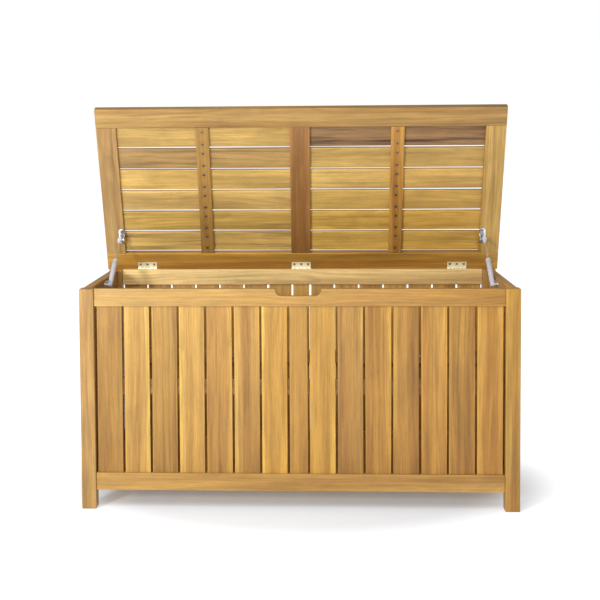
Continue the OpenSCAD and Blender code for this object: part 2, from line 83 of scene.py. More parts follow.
# a sawn board has a section about this often
STATION = 70 * MM
# how far a slat is drawn into the groove of the rail or stile that holds its end
HOUSING = 2 * MM
# finger notch of the front rail: half its width, its depth, and the radii of its corner and of its lip
NOTCH_HALF, NOTCH_DEPTH, NOTCH_CORNER, NOTCH_LIP = 63 * MM, 20 * MM, 18 * MM, 2 * MM
# hinges: a leaf's width, reach from the pin, thickness and gap to the pin, and the barrel's radius
LEAF_WIDTH, LEAF_REACH, LEAF_THICKNESS, LEAF_GAP, BARREL = 60 * MM, 22 * MM, 2 * MM, 2.6 * MM, 3.6 * MM
# half the width, and the depth, of the seat in the lid's rear rail that clears the barrel
BARREL_SEAT = 4.2 * MM
# strut brackets' thickness, and how far an upper one reaches from its far screw towards the hinge
BRACKET, BRACKET_REACH = 2.5 * MM, 42 * MM
# camera: its place in metres, its yaw, pitch and roll in degrees, and the shift of its lens
EYE, GAZE, SHIFT = (0.064506, -3.637546, 1.022179), (-2.859, 3.344, 0.382), (0.0675, -0.1502)


# ---- Reading the frame ----------------------------------------------------


def turned(points, angle, centre=HINGE_LINE):
    """Points turned by an angle about the line along x through a centre:
    y' = y cos a - z sin a and z' = y sin a + z cos a, measured from the centre."""
    y, z = points[:, 1] - centre[1], points[:, 2] - centre[2]
    c, s = math.cos(angle), math.sin(angle)
    return np.stack([points[:, 0], centre[1] + y * c - z * s, centre[2] + y * s + z * c], 1)


def rides_lid(node):
    """Whether a node belongs to the lid, and so is drawn lying shut and then turned open."""
    return frame["nodes"][node]["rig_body"] == "lid"


def node_points(node):
    """Corners of a node's mesh, with the lid's own nodes turned shut."""
    mesh = frame["nodes"][node].data
    points = np.empty(len(mesh.vertices) * 3)
    mesh.vertices.foreach_get("co", points)
    points = points.reshape(-1, 3)
    return turned(points, LID_OPEN) if rides_lid(node) else points


def solid_boxes(node):
    """Boxes of the separate solids in a node, in order along the direction in which they are laid out.
    Corners in one place count as one, and each takes the lowest number among its triangles' corners until
    no number changes, so that the corners of one solid end with one number."""
    points = node_points(node)
    mesh = frame["nodes"][node].data
    mesh.calc_loop_triangles()
    corners = np.empty(len(mesh.loop_triangles) * 3, dtype=np.int64)
    mesh.loop_triangles.foreach_get("vertices", corners)
    places = np.round(points * 1e5).astype(np.int64)
    merged = np.unique(places, axis=0, return_inverse=True)[1].ravel()
    triangles = merged[corners].reshape(-1, 3)
    label = np.arange(merged.max() + 1)
    while True:
        lower = label.copy()
        np.minimum.at(lower, triangles.ravel(), np.repeat(label[triangles].min(1), 3))
        if np.array_equal(lower, label):
            break
        label = lower
    owner = label[merged]
    boxes = [(points[owner == k].min(0), points[owner == k].max(0)) for k in np.unique(owner)]
    middles = np.array([(low + high) / 2 for low, high in boxes])
    order = np.argsort(middles[:, int(np.argmax(np.ptp(middles, axis=0)))])
    return [boxes[k] for k in order]


def middles(node):
    """Middles of the separate solids in a node, in the order of their boxes."""
    return [(low + high) / 2 for low, high in solid_boxes(node)]


def node_box(node):
    """Lowest and highest corner of a whole node, with the lid's own nodes turned shut."""
    points = node_points(node)
    return points.min(0), points.max(0)


# ---- Sizes and colours ----------------------------------------------------


def size(name, text, default):
    return FloatProperty(name=name, description=text, default=default, unit="LENGTH", precision=4)


def colour(name, text, default):
    return FloatVectorProperty(name=name, description=text, default=default, subtype="COLOR",
                               size=3, min=0, max=1)


def number(name, text, default, low=0.0, high=1000.0):
    return FloatProperty(name=name, description=text, default=default, min=low, max=high)


class BoxSizes(bpy.types.PropertyGroup):
    """Sizes of the finish given to boards and fittings."""

    board_edge: size("Board edge", "Rounding along the edges of slats and rails", 1.8 * MM)
    post_edge: size("Post edge", "Rounding along the edges of the posts", 2.4 * MM)
    metal_edge: size("Metal edge", "Rounding along the edges of plates", 0.35 * MM)
    wander: size("Board wander", "How far a slat's edges stray from true", 0.7 * MM)
    ring_width: size("Growth ring", "Mean width of a growth ring", 9.0 * MM)
    counterbore: size("Counterbore", "Radius of the screw holes in the lid battens", 4.2 * MM)
    counterbore_depth: size("Counterbore depth", "Depth of those holes", 1.5 * MM)


class BoxColours(bpy.types.PropertyGroup):
    """Colours of the woods and metals."""

    frame_light: colour("Frame light", "Pale growth in posts and rails", (0.55, 0.31, 0.085))
    frame_dark: colour("Frame dark", "Brown growth in posts and rails", (0.32, 0.155, 0.036))
    slat_light: colour("Slat light", "Pale growth in the wall slats", (0.513, 0.28, 0.056))
    slat_dark: colour("Slat dark", "Brown growth in the wall slats", (0.305, 0.14, 0.0243))
    lid_light: colour("Lid light", "Pale growth in the lid slats", (0.63, 0.40, 0.109))
    lid_dark: colour("Lid dark", "Brown growth in the lid slats", (0.45, 0.275, 0.074))
    umber_light: colour("Umber light", "Pale growth in the lid's centre stile", (0.40, 0.20, 0.07))
    umber_dark: colour("Umber dark", "Brown growth in the lid's centre stile", (0.22, 0.105, 0.032))
    batten_light: colour("Batten light", "Pale growth in the lid battens", (0.48, 0.27, 0.075))
    batten_dark: colour("Batten dark", "Brown growth in the lid battens", (0.28, 0.135, 0.034))
    brass: colour("Brass", "Brass-plated hinges", (0.97, 0.89, 0.65))
    zinc: colour("Zinc", "Zinc-plated brackets", (0.74, 0.74, 0.75))
    steel: colour("Steel", "Wood screws of the battens", (0.72, 0.66, 0.57))
    chrome: colour("Chrome", "Polished strut rods", (0.88, 0.88, 0.90))
    strut: colour("Strut", "Painted strut cylinders and sockets", (0.63, 0.635, 0.71))
    floor: colour("Floor", "Studio floor", (0.81, 0.87, 0.94))


class StudioSettings(bpy.types.PropertyGroup):
    """Lights and camera."""

    sky: number("Sky", "Strength of the even light", 0.39)
    glow: number("Floor glow", "Light that the far floor gives back by itself", 0.8)
    shade: number("Floor shade", "Light that the floor gives back near the box", 0.16)
    key: number("Key", "Power of the large soft light", 24.0)
    side: number("Side", "Power of the far light at the left", 73.0)
    lens: number("Lens", "Focal length in millimetres", 74.78)


# ---- Surfaces -------------------------------------------------------------


def loop_normals(loop):
    """Outward directions at the corners of a closed anticlockwise loop, as long as a corner's mitre:
    the sum of the two sides' normals over one plus their product."""
    side = np.roll(loop, -1, 0) - loop
    side /= np.linalg.norm(side, axis=1, keepdims=True)
    normal = np.stack([side[:, 1], -side[:, 0]], 1)
    before = np.roll(normal, 1, 0)
    return (normal + before) / (1 + (normal * before).sum(1, keepdims=True))


def arc(centre, radius, start, stop, steps):
    """Points of a circle's arc from one angle to another, in degrees: centre + radius (cos t, sin t)."""
    t = np.radians(np.linspace(start, stop, steps + 1))
    return np.stack([centre[0] + radius * np.cos(t), centre[1] + radius * np.sin(t)], 1)


def ring_quads(rings, count):
    """Faces between neighbouring rings of points that are numbered ring by ring."""
    i = np.arange(count)
    k = np.arange(rings - 1)[:, None] * count
    j = (i + 1) % count
    return np.stack([k + i, k + j, k + j + count, k + i + count], -1).reshape(-1, 4)


def capped(rings, count):
    """Faces of a stack of rings with a flat face at each end."""
    last = (rings - 1) * count
    return ring_quads(rings, count).tolist() + [list(range(count))[::-1], list(range(last, last + count))]


def fanned(rings, count):
    """Faces of a stack of rings with a fan at each end, round the single points numbered after the rings."""
    i = np.arange(count)
    j = (i + 1) % count
    foot, last = rings * count, (rings - 1) * count
    below = np.stack([np.full(count, foot), j, i], 1)
    above = np.stack([np.full(count, foot + 1), last + i, last + j], 1)
    return ring_quads(rings, count).tolist() + below.tolist() + above.tolist()


def solid(points, faces, rim=None):
    """A closed solid: its points, its faces and a rim value at each point."""
    return {"points": points, "faces": faces, "rim": np.zeros(len(points)) if rim is None else rim}


def rounding(edge, steps=3):
    """Insets and depths of a quarter-round rim, from the face outwards: edge (1 - sin t) and
    edge (cos t0 - cos t), for t from t0 = 20 degrees, where the rim meets the face, to 90."""
    t = np.radians(np.linspace(20, 90, steps + 1))
    return edge * (1 - np.sin(t)), edge * (np.cos(t[0]) - np.cos(t))


def plate(loop, low, high, edge):
    """Flat solid with rounded rims: the loop (u, v) is carried through the thickness w and drawn in near
    both faces by the rounding's insets at its depths."""
    inset, depth = rounding(edge)
    inset = np.concatenate([inset, inset[::-1]])
    height = np.concatenate([low + depth, high - depth[::-1]])
    count, rings = len(loop), len(inset)
    flat = loop[None] - loop_normals(loop)[None] * inset[:, None, None]
    points = np.concatenate([flat, np.broadcast_to(height[:, None, None], (rings, count, 1))], 2)
    return solid(points.reshape(-1, 3), capped(rings, count))


def carried(sections, stations, rim):
    """Solid made of closed sections (v, w) set up at stations along u, with a flat face at each end."""
    rings, count = len(stations), len(sections[0])
    u = np.broadcast_to(np.asarray(stations)[:, None, None], (rings, count, 1))
    points = np.concatenate([u, np.asarray(sections)], 2)
    return solid(points.reshape(-1, 3), capped(rings, count), np.tile(rim, rings))


def softened(v, w, edge, margin=4 * MM, sides=0.0):
    """Section of a sawn board: a rectangle with quarter-round corners and a point on each side a little way
    from every corner. Returns the anticlockwise loop and its rim values: 1 on the rounding, 0 on the faces,
    and that given for the narrow sides."""
    reach = [edge + min(margin, 0.25 * (r[1] - r[0])) for r in (v, w)]
    corners, rims = [], []
    for sv, sw, start in ((1, 0, -90), (1, 1, 0), (0, 1, 90), (0, 0, 180)):
        cv, cw = v[sv] - (2 * sv - 1) * edge, w[sw] - (2 * sw - 1) * edge
        at_v, at_w = v[sv] - (2 * sv - 1) * reach[0], w[sw] - (2 * sw - 1) * reach[1]
        flat = [[at_v, w[sw]], [v[sv], at_w]]
        turn = 1 if start in (-90, 90) else -1
        first, last = flat[::turn]
        corners += [[first], arc((cv, cw), edge, start, start + 90, 3), [last]]
        rims += [0, 1, 1, 1, 1, sides][::turn]
    return np.concatenate(corners), np.array(rims, float)


def sawn(u, v, w, edge, drop=None, stops=(), wander=0.0, draw=None, sides=0.0):
    """Sawn board: the softened section carried along u, drawn in at both ends by the rounding. Its two edges
    stray by wander (sin(a u + p) + sin(b u + q)) / 2, each with its own a, b, p and q.
    drop, a function of u, lowers the points near the section's top; stops are more stations that it needs."""
    section, rim = softened(v, w, edge, sides=sides)
    inset, depth = rounding(edge)
    inner = np.linspace(u[0] + edge, u[1] - edge, max(3, int((u[1] - u[0]) / STATION)))[1:-1]
    inner = np.unique(np.concatenate([inner, np.asarray(stops, float)]))
    stations = np.concatenate([u[0] + depth, inner, u[1] - depth[::-1]])
    insets = np.concatenate([inset, np.zeros(len(inner)), inset[::-1]])
    sections = section[None] - loop_normals(section)[None] * insets[:, None, None]
    if wander:
        beat, phase = draw.uniform(3, 9, (2, 2)), draw.uniform(0, 2 * np.pi, (2, 2))
        stray = wander * np.sin(stations[:, None, None] * beat + phase).mean(2)
        share = (section[:, 0] - v[0]) / (v[1] - v[0])
        sections[..., 0] += stray[:, :1] * share + stray[:, 1:] * (1 - share)
    if drop is not None:
        near_top = section[:, 1] > (w[0] + w[1]) / 2
        sections[..., 1] -= np.where(near_top, drop(stations)[:, None], 0)
    return carried(sections, stations, rim)


def turned_solid(profile, segments=32):
    """Solid of revolution about w: each point (r, w) of the profile, from its foot on the axis to its top on
    the axis, goes round as (r cos t, r sin t, w). The first and last points are single."""
    t = 2 * np.pi * np.arange(segments) / segments
    body = np.asarray(profile[1:-1], float)
    ring = np.stack([np.cos(t), np.sin(t)], 1)
    side = np.concatenate([body[:, None, :1] * ring[None],
                           np.broadcast_to(body[:, None, 1:], (len(body), segments, 1))], 2)
    points = np.concatenate([side.reshape(-1, 3), [[0, 0, profile[0][1]], [0, 0, profile[-1][1]]]])
    return solid(points, fanned(len(body), segments))


def screw_head(radius, dome, rim_height, slot_depth, dull=0.0, segments=32, rings=9):
    """Head with a cross recess: on a grid of distance r and angle t the height is
    rim + dome (1 - (r/R)^2), less the recess where either arm of the cross covers (r cos t, r sin t).
    An arm is full within 0.12 R of its line and fades out by 0.19 R, and ends at 0.62 R. Painted shade (a rim
    below nothing) fills the recess and the head's foot, and can be spread over the whole head, for a head that
    sits sunk in a hole."""
    t = 2 * np.pi * np.arange(segments) / segments
    r = np.linspace(0.04, 1, rings) * radius
    x, y = r[:, None] * np.cos(t), r[:, None] * np.sin(t)

    def arm(across, along):
        width = np.clip((0.19 * radius - np.abs(across)) / (0.07 * radius), 0, 1)
        length = np.clip((0.62 * radius - np.abs(along)) / (0.12 * radius), 0, 1)
        return width * length

    cross = np.maximum(arm(x, y), arm(y, x))
    z = rim_height + dome * (1 - (r[:, None] / radius) ** 2) - slot_depth * cross
    top = np.stack([x, y, np.broadcast_to(z, x.shape)], -1)[::-1]
    foot = np.stack([x[-1], y[-1], np.zeros(segments)], -1)[None]
    grid = np.concatenate([foot, top]).reshape(-1, 3)
    centre = [[0, 0, 0], [0, 0, rim_height + dome - slot_depth]]
    # painted shade in the cross recess and at the head's foot, and over the whole head for a head sunk in a
    # hole
    painted_shade = np.concatenate([np.ones(segments), np.maximum(cross, dull)[::-1].ravel(), [1.0, 1.0]])
    return solid(np.concatenate([grid, centre]), fanned(rings + 1, segments), -painted_shade)


def drilled_plate(u, v, low, high, edge, holes, radius, depth, flare=0.0, wear=1.0, per_side=6):
    """Rectangular plate with a row of blind round holes sunk into its top face. The row is cut half way
    between holes into cells; a ray at each of the cell's angles meets its outline and the hole's circle, and
    the face is the strip between the two. The outlines of all the cells make the rim's loop.
    holes = (positions along u, position across v); flare widens the mouth of a hole; wear is the rim's value
    on the outline, and the rim falls below nothing down in the holes, for painted shade there."""
    along, across = np.asarray(holes[0], float), holes[1]
    cuts = np.concatenate([[u[0]], (along[1:] + along[:-1]) / 2, [u[1]]])

    def outline(corners):
        """Points along straight sides from corner to corner, as many on each."""
        corners = np.asarray(corners, float)
        share = np.linspace(0, 1, per_side + 1)[:-1, None]
        return np.concatenate([a + (b - a) * share for a, b in zip(corners, np.roll(corners, -1, 0))])

    def drawn_in(loop, inset):
        return np.clip(loop, [u[0] + inset, v[0] + inset], [u[1] - inset, v[1] - inset])

    points, faces, rims, total = [], [], [], 0
    for start, centre, stop in zip(cuts[:-1], along, cuts[1:]):
        square = outline([(stop, v[0]), (stop, v[1]), (start, v[1]), (start, v[0])])
        out = square - [centre, across]
        ray = out / np.linalg.norm(out, axis=1, keepdims=True)
        count = len(square)
        rings = [np.c_[drawn_in(square, edge), np.full(count, high)],
                 np.c_[[centre, across] + ray * (radius + flare), np.full(count, high)],
                 np.c_[[centre, across] + ray * radius, np.full(count, high - flare)],
                 np.c_[[centre, across] + ray * radius * 0.98, np.full(count, high - depth)]]
        points.append(np.concatenate(rings))
        # painted shade down the hole's wall and on its floor
        rims.append(np.repeat([wear, 0.0, -0.5, -1.0], count))
        # the rings run inwards from an anticlockwise outline, so their faces point up
        faces += (ring_quads(4, count) + total).tolist()
        faces.append(list(range(total + 3 * count, total + 4 * count)))
        total += 4 * count
    # rim and underside
    loop = outline([(c, v[0]) for c in cuts] + [(c, v[1]) for c in cuts[::-1]])
    t = np.radians(np.linspace(0, 90, 4))
    inset, rise = edge * (1 - np.sin(t)), edge * (1 - np.cos(t))
    inset = np.concatenate([inset, inset[::-1]])
    height = np.concatenate([low + rise, high - rise[::-1]])
    count = len(loop)
    points += [np.c_[drawn_in(loop, k), np.full(count, h)] for k, h in zip(inset, height)]
    rims.append(np.full(len(inset) * count, wear))
    faces += (ring_quads(len(inset), count) + total).tolist()
    faces.append([total + n for n in range(count)][::-1])
    return solid(np.concatenate(points), faces, np.concatenate(rims))


def turned_over(part):
    """A solid mirrored in w, with its faces turned over to match."""
    points = part["points"] * [1, 1, -1]
    return {**part, "points": points, "faces": [face[::-1] for face in part["faces"]]}


def mapped(part, axes):
    """Names the axis that each of u, v and w runs along, and turns the faces over if that mirrors it."""
    order = ["xyz".index(axis) for axis in axes]
    points = np.empty_like(part["points"])
    points[:, order] = part["points"]
    odd = np.linalg.det(np.eye(3)[order]) < 0
    faces = [face[::-1] for face in part["faces"]] if odd else part["faces"]
    return {**part, "points": points, "faces": faces}


def moved(part, offset):
    """A solid shifted by an offset."""
    return {**part, "points": part["points"] + np.asarray(offset)}


def set_up(part, origin, w, u=(1.0, 0.0, 0.0)):
    """Stands a solid drawn along w at an origin, with its w along one direction and its u near another."""
    w = np.asarray(w, float) / np.linalg.norm(w)
    u = np.asarray(u, float) - np.dot(u, w) * w
    if np.linalg.norm(u) < 1e-6:
        u = np.array([0.0, 1.0, 0.0]) - w[1] * w
    u /= np.linalg.norm(u)
    axes = np.stack([u, np.cross(w, u), w])
    return {**part, "points": part["points"] @ axes + np.asarray(origin)}


# ---- Boards ---------------------------------------------------------------


def wooden(part, along, tone, seed, sap=0, veins=0.12, calm=0.25):
    """Gives a solid its own piece of timber. The grain runs along one axis; the pith of the log lies beside
    the board, at a distance drawn from the seed. Tone is the board's brightness, or three numbers for its
    colour, or two such threes for its lower and upper end, with a straight blend between them.
    Sap is the width in mm of a strip of pale sapwood along one edge, less than nothing for the lower edge,
    and the figure's first number rises from 0 to 1 across that strip; veins is the strength of the dark
    veins, and calm, from 0 to 1, evens out the bands and streaks."""
    draw = np.random.default_rng(seed)
    points = part["points"]
    middle = (points.min(0) + points.max(0)) / 2
    extent = np.ptp(points, axis=0)
    others = [k for k in range(3) if k != along]
    across, deep = sorted(others, key=lambda k: -extent[k])
    pith = [draw.uniform(-0.035, 0.035), draw.uniform(0.025, 0.075) * draw.choice([-1, 1])]
    local = points - middle
    grain = np.stack([local[:, along] + draw.uniform(1, 40), local[:, across] + pith[0],
                      local[:, deep] + pith[1]], 1)
    ends = np.broadcast_to(np.asarray(tone, float), (2, 3))
    share = (local[:, along] / extent[along] + 0.5)[:, None]
    tint = ends[0] * (1 - share) + ends[1] * share
    strip = np.full(len(points), -1.0)
    if sap:
        strip = 1 - (extent[across] / 2 - np.sign(sap) * local[:, across]) / (abs(sap) * MM)
    figure = np.stack([strip, np.full(len(points), veins), np.full(len(points), calm)], 1)
    return {**part, "grain": grain, "tint": tint, "figure": figure}


def board(box, along, tone, seed, edge, wander=0.0, sap=0, veins=0.12, sides=0.0):
    """A sawn board that fills a box; its length, width and thickness are u, v and w."""
    low, high = box
    extent = high - low
    across, deep = sorted([k for k in range(3) if k != along], key=lambda k: -extent[k])
    part = sawn(*((low[k], high[k]) for k in (along, across, deep)), edge, wander=wander,
                draw=np.random.default_rng(seed + 7000), sides=sides)
    part = mapped(part, "".join("xyz"[k] for k in (along, across, deep)))
    return wooden(part, along, tone, seed, sap, veins)


def clipped(box, axis, low, high):
    """A box cut back to a range along one axis."""
    box = (box[0].copy(), box[1].copy())
    box[0][axis], box[1][axis] = max(box[0][axis], low), min(box[1][axis], high)
    return box


def notched_board(box, tone, seed, edge, calm):
    """Front rail with a finger notch in the middle of its top. Going out from the middle, the notch's floor
    is flat, rises round a quarter circle of the notch's radius, and turns over into the rim round a smaller
    one: drop = depth; depth - R + sqrt(R^2 - (x - x0)^2); r - sqrt(r^2 - (x1 - x)^2)."""
    low, high = box
    half, depth, radius, mouth = NOTCH_HALF, NOTCH_DEPTH, NOTCH_CORNER, NOTCH_LIP

    def drop(x):
        x = np.abs(x)
        up, over = np.clip(x - half + radius, 0, None), np.clip(half + mouth - x, 0, mouth)
        bowl = depth - radius + np.sqrt(np.clip(radius ** 2 - up ** 2, 0, None))
        lip = mouth - np.sqrt(np.clip(mouth ** 2 - over ** 2, 0, None))
        return np.where(x < half, bowl, lip)

    t = np.radians(np.linspace(0, 90, 13))
    rise = np.concatenate([half - radius + radius * np.sin(t), half + mouth * (1 - np.cos(t[::3]))])
    part = sawn((low[0], high[0]), (low[1], high[1]), (low[2], high[2]), edge, drop,
                np.concatenate([rise, -rise]))
    return wooden(part, 0, tone, seed, calm=calm)


def housed_board(box, seats, cuts, face, tone, seed, edge):
    """Rail with shallow seats for hinge leaves. The softened section (y, z) is carried along x; between the
    ends of a seat the part of its face behind a line in y is let in by a depth.
    seats = ranges along x, cuts = (line, depth) from front to back, face = 1 for the top and -1 for the
    underside."""
    low, high = box
    section, rim = softened((low[1], high[1]), (low[2], high[2]), edge)
    level = high[2] if face > 0 else low[2]
    step = 0.15 * MM
    lines = np.array([[line + s, level] for line, _ in cuts for s in (-step, step)])
    lines = lines[np.argsort(-face * lines[:, 0])]
    on_face = np.abs(section[:, 1] - level) < 1e-7
    inner = on_face & (rim == 0)
    at = next(k for k in np.flatnonzero(inner) if inner[(k + 1) % len(section)])
    # the face's two inner points come first in the loop, with the new lines between them
    section, rim = np.roll(section, -at, 0), np.roll(rim, -at)
    run = np.concatenate([section[:2], lines])
    run = run[np.argsort(-face * run[:, 0])]
    section = np.concatenate([run, section[2:]])
    rim = np.concatenate([np.zeros(len(run)), rim[2:]])
    depth = np.zeros(len(section))
    for line, deep in cuts:
        depth = np.where(section[:, 0] > line, deep, depth)
    seat = section.copy()
    seat[:, 1] -= face * np.where(np.abs(section[:, 1] - level) < edge + 1e-6, depth, 0)
    inset, run_in = rounding(edge)
    normals = loop_normals(section)
    stations, sections = list(low[0] + run_in), [section - normals * k for k in inset]
    for start, stop in seats:
        stations += [start - step, start + step, stop - step, stop + step]
        sections += [section, seat, seat, section]
    stations += list(high[0] - run_in[::-1])
    sections += [section - normals * k for k in inset[::-1]]
    return wooden(carried(sections, stations, rim), 0, tone, seed)


# ---- Pieces ---------------------------------------------------------------


def make_piece(name, parts, node, slot):
    """Joins solids into one mesh with their grain, tint, figure and rim, turns the lid's pieces open, and
    rides the piece on the body of the node that it stands for. The slot names its material too."""
    points = np.concatenate([part["points"] for part in parts])
    if rides_lid(node):
        points = turned(points, -LID_OPEN)
    faces, start = [], 0
    for part in parts:
        faces += [[start + n for n in face] for face in part["faces"]]
        start += len(part["points"])
    mesh = bpy.data.meshes.new(name)
    mesh.from_pydata(points.tolist(), [], faces)
    rim = mesh.attributes.new("rim", "FLOAT", "POINT")
    rim.data.foreach_set("value", np.concatenate([part["rim"] for part in parts]).astype(np.float32))
    for key in ("grain", "tint", "figure") if "grain" in parts[0] else ():
        values = mesh.attributes.new(key, "FLOAT_VECTOR", "POINT")
        vectors = np.concatenate([part[key] for part in parts]).astype(np.float32)
        values.data.foreach_set("vector", vectors.ravel())
    smooth = np.concatenate([[len(face) < 5 for face in part["faces"]] for part in parts])
    mesh.polygons.foreach_set("use_smooth", smooth)
    mesh.set_sharp_from_angle(angle=SHARP_FROM)
    mesh.update()
    if mesh.validate(verbose=False):
        raise RuntimeError(f"{name}: the mesh had faults")
    mesh.materials.append(MATERIALS[slot])
    piece = bpy.data.objects.new(name, mesh)
    bpy.context.scene.collection.objects.link(piece)
    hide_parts(node)
    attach(piece, frame["nodes"][node]["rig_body"])
    return piece


# ---- Materials ------------------------------------------------------------


class Finish:
    """A material's node tree, built step by step."""

    def __init__(self, name):
        self.material = bpy.data.materials.new(name)
        self.material.use_nodes = True
        self.tree = self.material.node_tree
        self.tree.nodes.clear()
        self.shader = self.node("ShaderNodeBsdfPrincipled")
        output = self.node("ShaderNodeOutputMaterial")
        self.tree.links.new(self.shader.outputs[0], output.inputs["Surface"])

    def node(self, kind, **settings):
        made = self.tree.nodes.new(kind)
        for key, value in settings.items():
            setattr(made, key, value)
        return made

    def put(self, value, socket):
        """Links a socket, or sets a number or colour on it."""
        if isinstance(value, bpy.types.NodeSocket):
            self.tree.links.new(value, socket)
        elif socket.type == "RGBA" and len(tuple(value)) == 3:
            socket.default_value = (*value, 1)
        else:
            socket.default_value = value

    def attribute(self, name, output="Vector"):
        return self.node("ShaderNodeAttribute", attribute_name=name).outputs[output]

    def object_place(self):
        return self.node("ShaderNodeTexCoord").outputs["Object"]

    def math(self, operation, *values, clamp=False):
        made = self.node("ShaderNodeMath", operation=operation, use_clamp=clamp)
        for value, socket in zip(values, made.inputs):
            self.put(value, socket)
        return made.outputs[0]

    def vector_math(self, operation, *values):
        made = self.node("ShaderNodeVectorMath", operation=operation)
        for value, socket in zip(values, made.inputs):
            self.put(value, socket)
        return made.outputs["Value" if operation == "LENGTH" else "Vector"]

    def stretched(self, vector, scale):
        """The vector with each part multiplied by its own scale."""
        return self.vector_math("MULTIPLY", vector, scale)

    def noise(self, vector, scale=1.0, detail=2.0, roughness=0.5, lacunarity=2.0, distortion=0.0,
              output=0):
        made = self.node("ShaderNodeTexNoise")
        self.put(vector, made.inputs["Vector"])
        for key, value in (("Scale", scale), ("Detail", detail), ("Roughness", roughness),
                           ("Lacunarity", lacunarity), ("Distortion", distortion)):
            made.inputs[key].default_value = value
        return made.outputs[output]

    def spread(self, value, low, high, to_low=0.0, to_high=1.0):
        """Value from low to high drawn out smoothly over to_low to to_high."""
        made = self.node("ShaderNodeMapRange", interpolation_type="SMOOTHSTEP")
        for key, number in (("Value", value), ("From Min", low), ("From Max", high),
                            ("To Min", to_low), ("To Max", to_high)):
            self.put(number, made.inputs[key])
        return made.outputs[0]

    def mix(self, factor, first, second, blend="MIX"):
        made = self.node("ShaderNodeMix", data_type="RGBA", blend_type=blend)
        self.put(factor, made.inputs["Factor"])
        self.put(first, made.inputs[6])
        self.put(second, made.inputs[7])
        return made.outputs[2]

    def even(self, value):
        """A grey whose three parts are all the value."""
        made = self.node("ShaderNodeCombineXYZ")
        for socket in made.inputs:
            self.put(value, socket)
        return made.outputs[0]

    def bump(self, height, distance, strength):
        made = self.node("ShaderNodeBump")
        made.inputs["Strength"].default_value = strength
        made.inputs["Distance"].default_value = distance
        self.put(height, made.inputs["Height"])
        return made.outputs[0]

    def finish(self, **sockets):
        for key, value in sockets.items():
            self.put(value, self.shader.inputs[key.replace("_", " ")])
        return self.material


